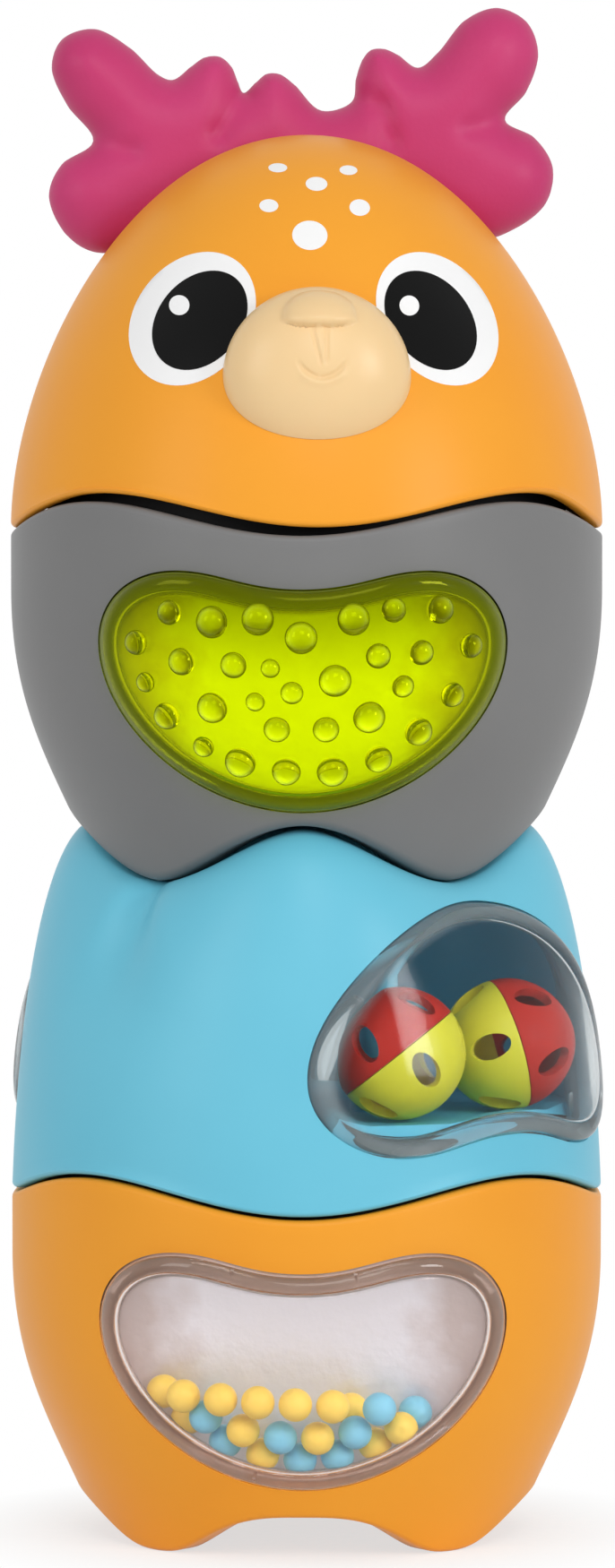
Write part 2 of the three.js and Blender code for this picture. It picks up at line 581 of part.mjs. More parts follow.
// Rattle ball: half a hollow ball on its pole, pierced by a ring of slots
function ballHalf() {
  const inner = BALL_RADIUS - BALL_WALL;
  const arc = (radius) => steps(3).map((s) => {
    const angle = lerp(Math.PI / 2, Math.asin(FIT / 2 / radius), s);
    return [radius * Math.cos(angle), radius * Math.sin(angle)];
  });
  const half = revolve([...arc(BALL_RADIUS), ...arc(inner).reverse()], 3 * BALL_SLOTS);
  const slots = Array.from({ length: BALL_SLOTS }, (_, i) => {
    const turn = (i * 2 * Math.PI) / BALL_SLOTS;
    const slot = new THREE.CylinderGeometry(1, 1, 2 * BALL_RADIUS, 6).translate(0, BALL_RADIUS, 0);
    slot.scale(BALL_SLOT.halfWidth, 1, BALL_SLOT.halfLength).rotateX(BALL_SLOT.latitude).rotateZ(turn);
    return solid(slot);
  });
  return half.subtract(union(slots));
}

// The four tiers, each in a group that stands at its own seat

const capSeat = BODY_HEIGHT + CAP_GAP;
const upperSeat = capSeat + CAP_RISE;
const headSeat = upperSeat + BODY_HEIGHT + HEAD_GAP;
const BODY_WINDOW_LOW = UPPER_ARCH.rise + WINDOW_ABOVE_ARCH;
const bodyWindow = windowOf(BODY_HEIGHT - WINDOW_BELOW_RIM, BODY_WINDOW_LOW);
const bodyPieces = (tier, arch, finish, lensPiece, floor = []) => [
  piece(`${tier}_shell`, bodyShell(arch, bodyWindow, floor.length > 0), finish),
  ...floor,
  piece(`${tier}_deck`, bodyDeck(arch), finish),
  lensPiece,
  piece(`${tier}_tray`, tray(bodyWindow, bodyRadius), TRAY_WHITE),
  piece(`${tier}_mirror`, mirror(bodyWindow), SILVER),
  ...screws(tier, arch.middle),
];

function tier(name, height, pieces) {
  const group = new THREE.Group();
  group.name = name;
  group.position.z = height;
  group.add(...pieces);
  return group;
}

// Half the inside width of a window's tray at a height.
function trayHalfWidth(window, z) {
  const { points } = window;
  const crossings = points.map((point, i) => {
    const next = points[(i + 1) % points.length];
    const share = (z - point.y) / (next.y - point.y);
    return share >= 0 && share <= 1 ? lerp(point.x, next.x, share) : 0;
  });
  return Math.max(...crossings) - LENS_BACK_SIDE;
}

// A bead's place: some way from the middle or from a side, and behind the lens or before the foil.
function beadPlace({ across, side, fromSide, height, behind, fromFoil }) {
  const z = BODY_WINDOW_LOW + height * BEAD_RADIUS;
  const bySide = () => side * (trayHalfWidth(bodyWindow, z) - (1 + fromSide) * BEAD_RADIUS);
  const x = side ? bySide() : across * BEAD_RADIUS;
  if (fromFoil) return [x, -(FOIL_FRONT + (1 + fromFoil) * BEAD_RADIUS), z];
  const slope = (bodyRadius(z + BEAD_RADIUS) - bodyRadius(z - BEAD_RADIUS)) / (2 * BEAD_RADIUS);
  const depth = (1 + behind) * BEAD_RADIUS * Math.hypot(1, slope);
  const radius = bodyRadius(z) + LENS_PROUD - LENS_FACE - depth;
  return [x, -Math.sqrt(radius * radius - x * x), z];
}

function bead(form, i) {
  const ball = new THREE.SphereGeometry(BEAD_RADIUS, 8, 5).translate(...beadPlace(form));
  const [hue, finish] = BEAD_COLOURS[form.colour];
  return piece(`bead_${String(i + 1).padStart(2, "0")}_${hue}`, solid(ball), finish);
}

function beads() {
  const rows = BEAD_ROWS.flatMap((row) => [...row.colours].map((colour, i) => {
    const across = row.first + i * BEAD_PITCH;
    const height = row.height + row.bow * across ** 2 + row.tilt * across;
    return { colour, across, height, behind: row.behind };
  }));
  return [...rows, ...STRAY_BEADS].map(bead);
}

function ballCap() {
  const plate = COLLAR_HEIGHT + FIT - CAP_GAP;
  const window = windowOf(CAP_RISE - CAP_WINDOW_BELOW_FEET, CAP_WINDOW_ABOVE_RIM, true);
  const openingBack = CROWN_RADIUS - 2 * FIT - WALL - FLANGE_WIDTH;
  const opening = windowPlug(outset(window, FIT), openingBack, 2 * RIM_RADIUS);
  let shell = capShell(capRings, plate);
  let floor = capFloor(capRadius(plate + WALL, 0) - WALL - 3 * FIT, plate);
  const lenses = Object.entries(CAP_WINDOW_TURNS).map(([side, turn]) => {
    const surface = (z, angle) => capRadius(z, angle + turn);
    const turned = (body) => body.rotate([0, 0, THREE.MathUtils.radToDeg(turn)]);
    shell = shell.subtract(turned(opening));
    floor = floor.subtract(turned(lensRoom(window, surface)));
    return piece(`cap_window_${side}`, turned(lens(window, surface)), CLEAR);
  });
  const halves = BALLS.flatMap((ball) => {
    const rest = plate + WALL + FIT + BALL_RADIUS;
    const centre = new THREE.Vector3(ball.across, BALL_FROM_RIM - RIM_RADIUS, rest);
    centre.applyAxisAngle(new THREE.Vector3(0, 0, 1), CAP_WINDOW_TURNS.front);
    const pole = new THREE.Vector3(...ball.pole).normalize();
    const hues = [
      ["red", pole, ball.redTurn, BALL_RED],
      ["yellow", pole.clone().negate(), ball.yellowTurn, BALL_YELLOW],
    ];
    return hues.map(([hue, way, turn, finish]) => {
      const half = piece(`${ball.name}_${hue}`, ballHalf(), finish);
      half.quaternion.setFromUnitVectors(new THREE.Vector3(0, 0, 1), way);
      half.rotateZ(degToRad(turn));
      half.position.copy(centre);
      return half;
    });
  });
  const walls = [piece("cap_shell", shell, BLUE), piece("cap_floor", floor, BLUE)];
  return [...walls, ...lenses, ...halves, ...screws("cap", plate)];
}

// Pink antlers: one moulding with rounded lobes, hollowed to sit on the dome, with two pegs through it.
function antlers(dome) {
  const knots = ANTLER_SHARES.map((knot) => new THREE.Vector3(...knot, 0).multiplyScalar(RIM_RADIUS));
  const outline = new THREE.CatmullRomCurve3(knots, true).getPoints(ANTLER_STEPS * knots.length).slice(1);
  const shape = new THREE.Shape(outline.map(({ x, y }) => new THREE.Vector2(x, y)));
  const depth = 2 * (CREST_HALF_THICK - CREST_EDGE_DEPTH);
  const crest = new THREE.ExtrudeGeometry(shape, {
    depth,
    bevelSize: CREST_EDGE_INSET,
    bevelOffset: -CREST_EDGE_INSET,
    bevelThickness: CREST_EDGE_DEPTH,
    bevelSegments: 3,
  });
  crest.translate(0, 0, -depth / 2).rotateX(Math.PI / 2).translate(0, CREST_BACK, HEAD_HEIGHT);
  return solid(crest).subtract(dome).add(antlerPegs(PEG_RADIUS));
}

function antlerPegs(radius) {
  const peg = uprightCylinder(radius, HEAD_HEIGHT - 2 * WALL - PEG_REACH, HEAD_HEIGHT + WALL);
  return union([-1, 1].map((side) => moved(peg, side * ANTLER_PEG_ACROSS, CREST_BACK)));
}

// The muzzle is egg-shaped, with a raised nose, and plugs into the face with one peg.
function muzzle(dome) {
  const front = headRadius(MUZZLE_HEIGHT);
  const egg = new THREE.SphereGeometry(1, 14, 10).rotateX(Math.PI / 2);
  const points = egg.getAttribute("position");
  for (let i = 0; i < points.count; i++) {
    const z = points.getZ(i);
    points.setZ(i, z * (z > 0 ? MUZZLE.above : MUZZLE.below));
  }
  const depth = MUZZLE.proud + MUZZLE.sink;
  egg.scale(MUZZLE.halfWidth, depth, 1).translate(0, MUZZLE.sink - front, MUZZLE_HEIGHT);
  const noseFront = front - MUZZLE.sink + depth * Math.sqrt(1 - (NOSE.up / MUZZLE.above) ** 2) + NOSE.proud;
  const nose = new THREE.SphereGeometry(1, 10, 6).scale(NOSE.halfWidth, NOSE.halfHeight, NOSE.halfHeight);
  nose.translate(0, NOSE.halfHeight - noseFront, MUZZLE_HEIGHT + NOSE.up);
  return solid(egg).add(solid(nose)).subtract(dome).add(muzzlePeg(PEG_RADIUS));
}

function muzzlePeg(radius) {
  const front = headRadius(MUZZLE_HEIGHT);
  const peg = uprightCylinder(radius, front - 2 * WALL - PEG_REACH, front + MUZZLE.proud / 2);
  return peg.rotate([90, 0, 0]).translate([0, 0, MUZZLE_HEIGHT]);
}

function head() {
  const plate = COLLAR_HEIGHT + FIT - HEAD_GAP;
  const proudDome = loft([...headRings(-FIT), [new THREE.Vector3(0, 0, 0)]]);
  const holes = antlerPegs(PEG_RADIUS + FIT).add(muzzlePeg(PEG_RADIUS + FIT));
  return [
    piece("head_shell", capShell(headRings, plate).subtract(holes), ORANGE),
    piece("head_floor", capFloor(headRadius(plate + WALL) - WALL - 3 * FIT, plate), ORANGE),
    piece("antlers", antlers(proudDome), PINK),
    piece("muzzle", muzzle(proudDome), BEIGE),
    ...screws("head", plate),
  ];
}

const clearLens = piece("base_window", lens(bodyWindow, bodyRadius), CLEAR);
const knobs = BUMPS.map((bump) => knob(bump, bodyRadius));
const knobblyLens = piece("upper_window", union([lens(bodyWindow, bodyRadius), ...knobs]), LIME);

const floorPlate = piece("base_floor", baseFloor(BASE_ARCH), ORANGE);
const basePieces = bodyPieces("base", BASE_ARCH, ORANGE, clearLens, [floorPlate]);

const toy = new THREE.Group();
toy.name = "stacking_animals";
const headTier = tier("head", headSeat, head());
headTier.rotation.z = HEAD_TURN;
toy.add(
  tier("base", 0, [...basePieces, ...beads()]),
  tier("ball_cap", capSeat, ballCap()),
  tier("upper_body", upperSeat, bodyPieces("upper", UPPER_ARCH, GREY, knobblyLens)),
  headTier,
);

export default toy;
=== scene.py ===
import math
import random

import bpy
from mathutils import Euler, Matrix, Vector, kdtree
from mathutils.geometry import delaunay_2d_cdt


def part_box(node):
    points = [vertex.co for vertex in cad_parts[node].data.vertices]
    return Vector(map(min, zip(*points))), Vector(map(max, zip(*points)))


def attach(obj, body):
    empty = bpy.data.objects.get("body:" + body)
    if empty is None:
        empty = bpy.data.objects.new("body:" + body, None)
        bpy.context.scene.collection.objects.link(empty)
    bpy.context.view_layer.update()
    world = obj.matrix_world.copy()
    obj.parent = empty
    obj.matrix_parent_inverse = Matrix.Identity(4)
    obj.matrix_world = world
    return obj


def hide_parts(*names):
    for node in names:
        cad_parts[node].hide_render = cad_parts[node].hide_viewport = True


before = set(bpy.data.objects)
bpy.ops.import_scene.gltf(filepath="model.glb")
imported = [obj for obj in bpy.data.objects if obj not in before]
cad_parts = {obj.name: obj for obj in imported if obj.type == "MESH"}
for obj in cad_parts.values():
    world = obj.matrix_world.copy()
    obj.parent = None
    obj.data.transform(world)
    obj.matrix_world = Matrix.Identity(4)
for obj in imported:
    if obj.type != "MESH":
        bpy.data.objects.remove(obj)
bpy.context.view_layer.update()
random.seed(7)

# Sizes of the tower in millimetres; every piece is modelled in millimetres and brought to metres last
TO_MM = 1000
RIM_RADIUS = 50
WALL = 2.4
FIT = 0.3
FEET = 4
SEAM_WAVE = 5.4
RIM_ROUND = 1
BODY_HEIGHT = 58
FOOT_RADIUS = 35.4
FOOT_FLARE = 6.2
FOOT_RUN = 16
BELLY_FROM_RIM = 32
UPRIGHT_FROM_RIM = 10
SOLE_RADIUS = 30.5
FLANK_RADIUS = 24
SOLE_EASE = 1.2
PEAK_ROUND = math.radians(7)
FLOOR_LIP = 1.7
BASE_ARCH = {"rise": 7.8, "ease": 1.55, "middle": 9, "straight": 0, "edge": 0.8, "cut": 0.5}
UPPER_ARCH = {"rise": 10.3, "ease": 1, "middle": 10.6, "straight": 0.5, "edge": 1.5, "cut": 1.3}
COLLAR_RADIUS = 43.8
COLLAR_HEIGHT = 12
DECK_DROP = 2.8
DECK_WALL = 2.2
CAP_GAP = 0.6
HEAD_GAP = 1.4
HEAD_SIDE_DROP = 1.0
HEAD_SIDE_GAP = 0.5
HEAD_SIDE_FADE = (0.78, 0.96)
CAP_RISE = 53.4
CAP_SHOULDER = 30
CAP_LEAN = 1
CROWN_RADIUS = 35
CROWN_RING = 32.7
RIDGE_GAP = 0.8
FLANK_GAP = 0.6
RIDGE_ROUND = 9.5
SEAT_ROUND = 6.5
CREASE_DEPTH = 3.2
CREASE_LENGTH = 30
CREASE_WIDTH = (math.radians(5), math.radians(13))
HEAD_HEIGHT = 65.4
HEAD_WAIST = 25.5
HEAD_LEAN = 0.4
HEAD_TOP_PULL = 30.5
HEAD_TURN = math.radians(3.3)
CAP_SEAT = BODY_HEIGHT + CAP_GAP
UPPER_SEAT = CAP_SEAT + CAP_RISE
HEAD_SEAT = UPPER_SEAT + BODY_HEIGHT + HEAD_GAP
CAP_FLOOR = COLLAR_HEIGHT + FIT - CAP_GAP
HEAD_FLOOR = COLLAR_HEIGHT + FIT - HEAD_GAP

WINDOW_HALF_WIDTH = 33.4
WINDOW_LOBE = 20.5
WINDOW_DIP = 3
WINDOW_WIDEST = 11.7
BODY_WINDOW = (52, 12.6)
CAP_WINDOW = (50.2, 9.6)
CAP_WINDOW_TURNS = {"front": math.radians(45), "back": math.radians(225)}
LENS_PROUD = 2.4
CAP_LENS_PROUD = 1.6
LENS_FACE = 1.8
LENS_SIDE = 2.7
LENS_BACK_SIDE = 1.2
LENS_ROUND = 1.8
LENS_INNER_ROUND = 1.1
# Rim bands in mm, and how far each window mixes to its edge colour there: partly haze, partly painted shade
CLEAR_RIM = (1.0, 2.6)
SMOKY_RIM = (1.4, 3.4)
LIME_RIM = (2.4, 4.2)
CLEAR_HAZE = 0.22
SMOKY_HAZE = 0.26
LIME_HAZE_AND_SHADE = 0.35
# Heights over the upper seat between which the lime window darkens towards its top: painted shade
LIME_TOP_SHADE = (34, 50)
OPENING_FRONT = 80
CAP_OPENING_BACK = 30.4
WELD_MARKS = {"top": (-11.4, 8.9), "bottom": (-7.8,)}
WELD_MARK_SIZE = (0.55, 1.5, 4)
WELD_MARK_INSET = 1.2
FLANGE_WIDTH = 1.6
FLANGE_FRONT = -3.4
FLANGE_BACK = -5
FLANGE_FADE = 18
TRAY_BACK = 25.5
TRAY_WALL = 1.5
FOIL_BACK = TRAY_BACK + TRAY_WALL + FIT
FOIL_FRONT = FOIL_BACK + 1
BEAD_RADIUS = 2.75
BEAD_SEAM_SWELL = 1.012
BEAD_GATE_FROM = 0.97
BEAD_GATE_DEPTH = 0.12
BALL_RADIUS = 11
BALL_WALL = 1.6
BALL_EDGE = 0.6
BALL_SLOTS = 5
BALL_SLOT = (2.1, 3.5)
BALL_SLOT_LATITUDE = math.radians(27)
BALL_POLES = {"left_ball": Vector((-0.63, 0.05, 0.78)), "right_ball": Vector((0.936, 0.223, 0.27))}
BALL_TURNS = {"left_ball": {"red": 18, "yellow": 14}, "right_ball": {"red": 1, "yellow": 60}}
POST_RADIUS = 3.4
BOSS_RADIUS = 4.6
BOSS_RISE = 2.6
POST_CIRCLE = FLANK_RADIUS - FLOOR_LIP - 2 * FIT - BOSS_RADIUS
SCREW_RECESS = (3, 2.6)
SCREW_HOLE = 1.7
SCREW_HEAD = (2.7, 2)
SCREW_SHANK = (1.4, 11)
SCREW_CROSS = (3, 0.7, 2)
SCREW_EDGE = 0.2
PLATE_EDGE = 0.35
KNOB_RISE = 0.9
KNOB_ROOT = 0.35
KNOB_SUNK = 0.12
KNOBS = [
    (-21.5, 45.5, 2.1), (-14.5, 44, 2.7), (-7, 44.5, 2.7), (0, 41.5, 2.7), (8.5, 44.5, 2.7),
    (15, 46, 2.1), (22.5, 46, 2.4), (-27, 40.5, 2.1), (-19.5, 37.5, 2.3), (-11, 37, 2.2),
    (-5, 36.5, 1.6), (12.5, 38.5, 2.1), (19.5, 39, 2.1), (27.5, 40, 2.1), (5.5, 34.5, 2.7),
    (-25.5, 34, 1.7), (16.5, 33.5, 1.9), (-1.5, 32.5, 1.9), (-7.5, 31, 1.6), (24.5, 32, 2.1),
    (-14.5, 30, 2.6), (-22, 28.5, 2.3), (11, 28.5, 2.7), (-4, 26.5, 2.2), (4, 26.5, 2.2),
    (19, 26, 2.4), (-16, 23.5, 1.8), (-10, 21, 2.6), (-2.5, 19.5, 2.4), (5, 19.5, 2.6),
    (12.5, 21.5, 2.3),
]
CREST_BACK = 11
CREST_HALF_THICK = 8
CREST_SWELL = 9
CREST_OUTLINE = [
    (-34.7, -19.8), (-40.4, -16.8), (-43.5, -10.1), (-41.4, -4.7), (-35.9, -0.7), (-40.4, 5.4),
    (-43, 11.8), (-41.2, 16.6), (-35.7, 18.4), (-29.6, 15.2), (-24.6, 10.5), (-22.3, 9.8),
    (-19.3, 12), (-16.9, 13.6), (-14.3, 13.7), (-12.3, 12), (-11.2, 9.4), (-10.3, 7.6), (-8.3, 9.3),
    (-6.4, 10.8), (-4.2, 10.8), (-1.6, 9), (2.9, 4.6), (8.1, 6.1), (8.8, 10.1), (10, 13.4),
    (11.4, 14.9), (13.6, 15.1), (16, 14.1), (19.4, 11.9),
    (22.7, 14.4), (27.4, 20), (32.9, 22.1), (38, 19.7), (40, 14.4), (38, 7.8), (34.3, 3), (39.4, 0),
    (42.5, -5), (41.4, -11.1), (36, -15.6), (28, -17.8), (11.9, -11.7), (1.2, -10.3), (-10.2, -11.7),
    (-20.3, -15.8),
]
CREST_CREASES = [
    ((-10.4, 7.7), (-14.6, 0.4), 2.7), ((8.8, 7.4), (12.6, 5.3), 1.95), ((12.6, 5.3), (14.3, -1), 1.95),
    ((34.3, 3), (28, 1.4), 2.4), ((-36, -0.7), (-29.7, -2.5), 2.4),
]
CREST_CREASE_WIDTH = 1.5
CREST_INSETS = (0.15, 0.5, 1.1, 1.9)
CREST_GRID = {"start": (-45, -21), "columns": 70, "rows": 42, "across": 1.3, "up": 1.05, "clear": 2.4}
SNOUT_HEIGHT = 24.4
SNOUT_HALF_WIDTH = 15.4
SNOUT_ABOVE = 14.8
SNOUT_BELOW = 13.2
SNOUT_PROUD = 6.5
SNOUT_SINK = 3
SNOUT_RELIEF_LIFT = 0.35
NOSE = {"across": 0.2, "up": 9.5, "half": 6, "above": 4.6, "below": 1.3, "power": 2.2, "proud": 1.9}
GROOVE = {"foot": 2.2, "run": 5.8, "halves": (0.45, 1.15), "middles": (0.7, 0.1)}
GROOVE_ENDS = ((1.7, 2.9), (7.6, 8.4))
GROOVE_LINE = {"depth": 0.24, "width": 0.36, "fold": 0.15, "fold_off": 0.5, "fold_width": 0.4}
SMILE = {"across": 0.3, "bend": 0.15, "ends": (3, 4.4)}
SMILE_LINE = {"depth": 0.4, "width": 0.45, "fold": 0.2, "fold_off": 0.9, "fold_width": 0.55}
DOME_CLEAR = 0.12
INK_SUNK = 0.2
WHITE_PROUD = 0.05
PUPIL_PROUD = 0.1
LIGHT_PROUD = 0.15
EYE_WHITE = {"across": 20.2, "up": 34.1, "half_long": 12, "half_short": 9.2, "lean": 38}
EYE_PUPIL = {"across": 19, "up": 33.8, "half_long": 9.1, "half_short": 6.7, "lean": 40}
EYE_LIGHTS = {"left": (-22.3, 36.3), "right": (15.4, 36.2)}
EYE_LIGHT_RADIUS = 1.65
FAWN_SPOTS = [
    (-5.56, 59.3, 0.8, 1.55), (6.18, 58.9, 0.84, 1.5), (0.69, 56.5, 1.2, 1.8),
    (-7.33, 52.8, 1.1, 1.55), (7.7, 52.5, 1.4, 1.72), (-0.76, 47.8, 2.45, 2.9),
]

# How finely the moulded forms are drawn
AROUND = 192
OUTLINE_STEPS = 32
PRINT_STEPS = 72
ANGLES = [2 * math.pi * i / AROUND for i in range(AROUND)]

# Camera: the photograph's 686 x 1750 frame, seen from the front and a little from above
PHOTO_HEIGHT = 1750
PHOTO_FOCAL = 8380
CAMERA_DISTANCE = 1.272
CAMERA_AZIMUTH = math.radians(1)
CAMERA_HEIGHT = 0.1918
CAMERA_AIM = Vector((0.00015, 0, 0.12706))
lens_data = bpy.data.cameras.new("photo_camera")
lens_data.sensor_width = 36
lens_data.lens = lens_data.sensor_width * PHOTO_FOCAL / PHOTO_HEIGHT
camera = bpy.data.objects.new("photo_camera", lens_data)
camera.location = (
    CAMERA_DISTANCE * math.sin(CAMERA_AZIMUTH),
    -CAMERA_DISTANCE * math.cos(CAMERA_AZIMUTH),
    CAMERA_HEIGHT,
)
camera.rotation_euler = (CAMERA_AIM - camera.location).to_track_quat("-Z", "Y").to_euler()
bpy.context.scene.collection.objects.link(camera)
bpy.context.scene.camera = camera
bpy.context.scene.view_settings.view_transform = "Standard"


# Materials
def linear(hex_colour):
    channels = [int(hex_colour[i:i + 2], 16) / 255 for i in (1, 3, 5)]
    return (*[c / 12.92 if c <= 0.04045 else ((c + 0.055) / 1.055) ** 2.4 for c in channels], 1)


def add(tree, kind, inputs=None, **settings):
    """Adds a node with its settings; an input takes a value or another node's output."""
    node = tree.nodes.new("ShaderNode" + kind)
    for name, value in settings.items():
        setattr(node, name, value)
    for socket, value in (inputs or {}).items():
        if isinstance(value, bpy.types.NodeSocket):
            tree.links.new(value, node.inputs[socket])
        else:
            node.inputs[socket].default_value = value
    return node


def new_material(name):
    material = bpy.data.materials.new(name)
    material.use_nodes = True
    material.node_tree.nodes.clear()
    return material, material.node_tree


def per_metre(millimetres):
    return TO_MM / millimetres


def ramp(tree, factor, low, high):
    """A colour that runs from low to high with a pattern."""
    node = add(tree, "ValToRGB", {"Fac": factor})
    node.color_ramp.elements[0].position = 0.35
    node.color_ramp.elements[0].color = linear(low)
    node.color_ramp.elements[1].position = 0.65
    node.color_ramp.elements[1].color = linear(high)
    return node.outputs["Color"]


def moulded_plastic(name, colour, shade, roughness, texture=0.05, soft=0.0, sheen=0.3):
    """Injection-moulded plastic: an even satin skin with faint flow clouds and fine tool texture.

    The tool's grain is about 0.1 mm; it is drawn at 0.7 mm so that it shows at all.
    """
    material, tree = new_material(name)
    place = add(tree, "TexCoord").outputs["Object"]
    flow = add(tree, "TexNoise", {"Vector": place, "Scale": per_metre(45), "Detail": 3.0})
    grain = add(tree, "TexNoise", {"Vector": place, "Scale": per_metre(0.7), "Detail": 2.0})
    gloss = add(tree, "MapRange", {
        "Value": flow.outputs["Fac"], "From Min": 0.3, "From Max": 0.7,
        "To Min": roughness - 0.04, "To Max": roughness + 0.04,
    })
    bump = add(tree, "Bump", {
        "Height": grain.outputs["Fac"], "Strength": texture, "Distance": 0.0002,
    })
    skin_shader = add(tree, "BsdfPrincipled", {
        "Base Color": ramp(tree, flow.outputs["Fac"], shade, colour),
        "Roughness": gloss.outputs["Result"], "Specular IOR Level": sheen, "Normal": bump.outputs["Normal"],
        "Subsurface Weight": soft, "Subsurface Scale": 0.002,
        "Subsurface Radius": (1.0, 0.6, 0.4),
    })
    add(tree, "OutputMaterial", {"Surface": skin_shader.outputs["BSDF"]})
    return material


def clear_plastic(
    name, colours, shadow_tint, ior, roughness, edge, turned, reflected="#ffffff", heights=(0, 1),
):
    """Clear moulded styrene: light let through, a slight waviness of 4 mm, and hazy rims, their edge colour
    partly painted shade.

    Its colour runs from the first to the second between two heights, in metres; where the second is darker,
    that is painted shade.
    """
    material, tree = new_material(name)
    place = add(tree, "TexCoord").outputs["Object"]
    waves = add(tree, "TexNoise", {"Vector": place, "Scale": per_metre(4), "Detail": 2.0})
    bump = add(tree, "Bump", {
        "Height": waves.outputs["Fac"], "Strength": 0.03, "Distance": 0.0005,
    })
    up = add(tree, "SeparateXYZ", {"Vector": place}).outputs["Z"]
    height = add(tree, "MapRange", {"Value": up, "From Min": heights[0], "From Max": heights[1]})
    # Colour ramp: the plastic's own hue and, in the lime window, painted shade towards its top
    tint_and_shade = add(tree, "ValToRGB", {"Fac": height.outputs["Result"]})
    for stop, colour in zip(tint_and_shade.color_ramp.elements, colours):
        stop.color = linear(colour)
    glass = add(tree, "BsdfPrincipled", {
        "Base Color": tint_and_shade.outputs["Color"], "Roughness": roughness, "IOR": ior,
        "Specular Tint": linear(reflected), "Transmission Weight": 1.0, "Normal": bump.outputs["Normal"],
    })
    # Edge colour, partly milky haze and partly painted shade; the lime window's dark olive paints the dark
    # rings round its knobs and along its rim
    haze_and_shade = add(tree, "BsdfPrincipled", {
        "Base Color": linear(edge), "Roughness": 0.25, "Specular IOR Level": 0.1,
    })
    rim = add(tree, "Attribute", attribute_name="rim")
    # Faces turned steeply from the view are mixed towards the edge colour: painted shade at the edges of
    # knobs and rims
    facing = add(tree, "LayerWeight", {"Blend": 0.5}).outputs["Facing"]
    steep = add(tree, "MapRange", {"Value": facing, "From Min": 0.3, "From Max": 0.75, "To Max": turned})
    hazy = add(tree, "Math", {0: rim.outputs["Fac"], 1: steep.outputs["Result"]}, operation="MAXIMUM")
    body = add(tree, "MixShader", {
        0: hazy.outputs[0], 1: glass.outputs["BSDF"], 2: haze_and_shade.outputs["BSDF"],
    })
    through = add(tree, "BsdfTransparent", {"Color": linear(shadow_tint)})
    ray = add(tree, "LightPath")
    mixed = add(tree, "MixShader", {
        0: ray.outputs["Is Shadow Ray"], 1: body.outputs["Shader"], 2: through.outputs["BSDF"],
    })
    add(tree, "OutputMaterial", {"Surface": mixed.outputs["Shader"]})
    return material


def silver_foil(name, colour, shaded_ends_colour, roughness, crinkle):
    """Metallised film on a plate: a soft mirror with crinkles 5 mm apart, with painted shade darkening it
    towards its ends.
    """
    material, tree = new_material(name)
    place = add(tree, "TexCoord").outputs["Object"]
    folds = add(tree, "TexNoise", {"Vector": place, "Scale": per_metre(5), "Detail": 4.0})
    bump = add(tree, "Bump", {
        "Height": folds.outputs["Fac"], "Strength": crinkle, "Distance": 0.0006,
    })
    across = add(tree, "SeparateXYZ", {"Vector": place}).outputs["X"]
    off = add(tree, "Math", {0: across}, operation="ABSOLUTE")
    ragged = add(tree, "Math", {
        0: folds.outputs["Fac"], 1: 0.012, 2: off.outputs[0],
    }, operation="MULTIPLY_ADD")
    # Painted shade: the mirror's colour turns darker towards both ends, along a ragged line
    ends = add(tree, "MapRange", {"Value": ragged.outputs[0], "From Min": 0.022, "From Max": 0.032})
    tint_and_shade = add(tree, "ValToRGB", {"Fac": ends.outputs["Result"]})
    for stop, hue in zip(tint_and_shade.color_ramp.elements, (colour, shaded_ends_colour)):
        stop.color = linear(hue)
    film = add(tree, "BsdfPrincipled", {
        "Base Color": tint_and_shade.outputs["Color"], "Metallic": 1.0, "Roughness": roughness,
        "Normal": bump.outputs["Normal"],
    })
    add(tree, "OutputMaterial", {"Surface": film.outputs["BSDF"]})
    return material


orange_plastic = moulded_plastic("orange_moulded_abs", "#f2a22e", "#f09d2a", 0.42, sheen=0.22)
blue_plastic = moulded_plastic("blue_moulded_abs", "#6ec4dc", "#68bfd8", 0.4, sheen=0.25)
grey_plastic = moulded_plastic("grey_moulded_abs", "#797979", "#747474", 0.42, sheen=0.25)
# Collars drawn near-black: painted shade, so that the seam gaps in front of them read black
shade_black_deck_plastic = moulded_plastic("painted_shade_dark_abs", "#1d1d1e", "#19191a", 0.5, sheen=0.1)
crest_vinyl = moulded_plastic("pink_soft_vinyl", "#c63a72", "#bd326a", 0.5, 0.12, 0.1)
snout_plastic = moulded_plastic("beige_moulded_pp", "#eecd9a", "#eac894", 0.34, 0.04, 0.1, 0.3)
tray_plastic = moulded_plastic("tray_moulded_styrene", "#d6cfcc", "#cfc6c2", 0.4)
yellow_bead_plastic = moulded_plastic("yellow_bead_pp", "#ffe268", "#fddc5c", 0.42, 0.04, 0.1)
blue_bead_plastic = moulded_plastic("blue_bead_pp", "#84d4f4", "#7cccee", 0.42, 0.04, 0.1)
red_ball_plastic = moulded_plastic("red_ball_pp", "#d03226", "#c62b20", 0.4, 0.05, 0.0, 0.08)
yellow_ball_plastic = moulded_plastic("yellow_ball_pp", "#f2e03c", "#ecd934", 0.42)
white_ink = moulded_plastic("white_pad_print", "#f5f5f5", "#f2f2f2", 0.35)
black_ink = moulded_plastic("black_pad_print", "#0a0a0a", "#070707", 0.25, 0.03, 0.0, 0.1)
# Each window's edge colour below is partly haze, partly painted shade
clear_window = clear_plastic(
    "clear_styrene", ("#f6f0ee", "#f6f0ee"), "#f2eeec", 1.42, 0.0, "#e0bca6", 0.3,
)
smoky_window = clear_plastic(
    "smoky_clear_styrene", ("#dfe6e8", "#dfe6e8"), "#d8e0e4", 1.2, 0.06, "#b4bec0", 0.0,
)
# The lime window's darker upper colour is painted shade; its lime hue is the plastic's own
lime_window = clear_plastic(
    "lime_clear_styrene", ("#f0f900", "#ccd600"), "#f2fc00", 1.45, 0.02, "#727c00", 0.95, "#f0f810",
    [(UPPER_SEAT + height) / TO_MM for height in LIME_TOP_SHADE],
)
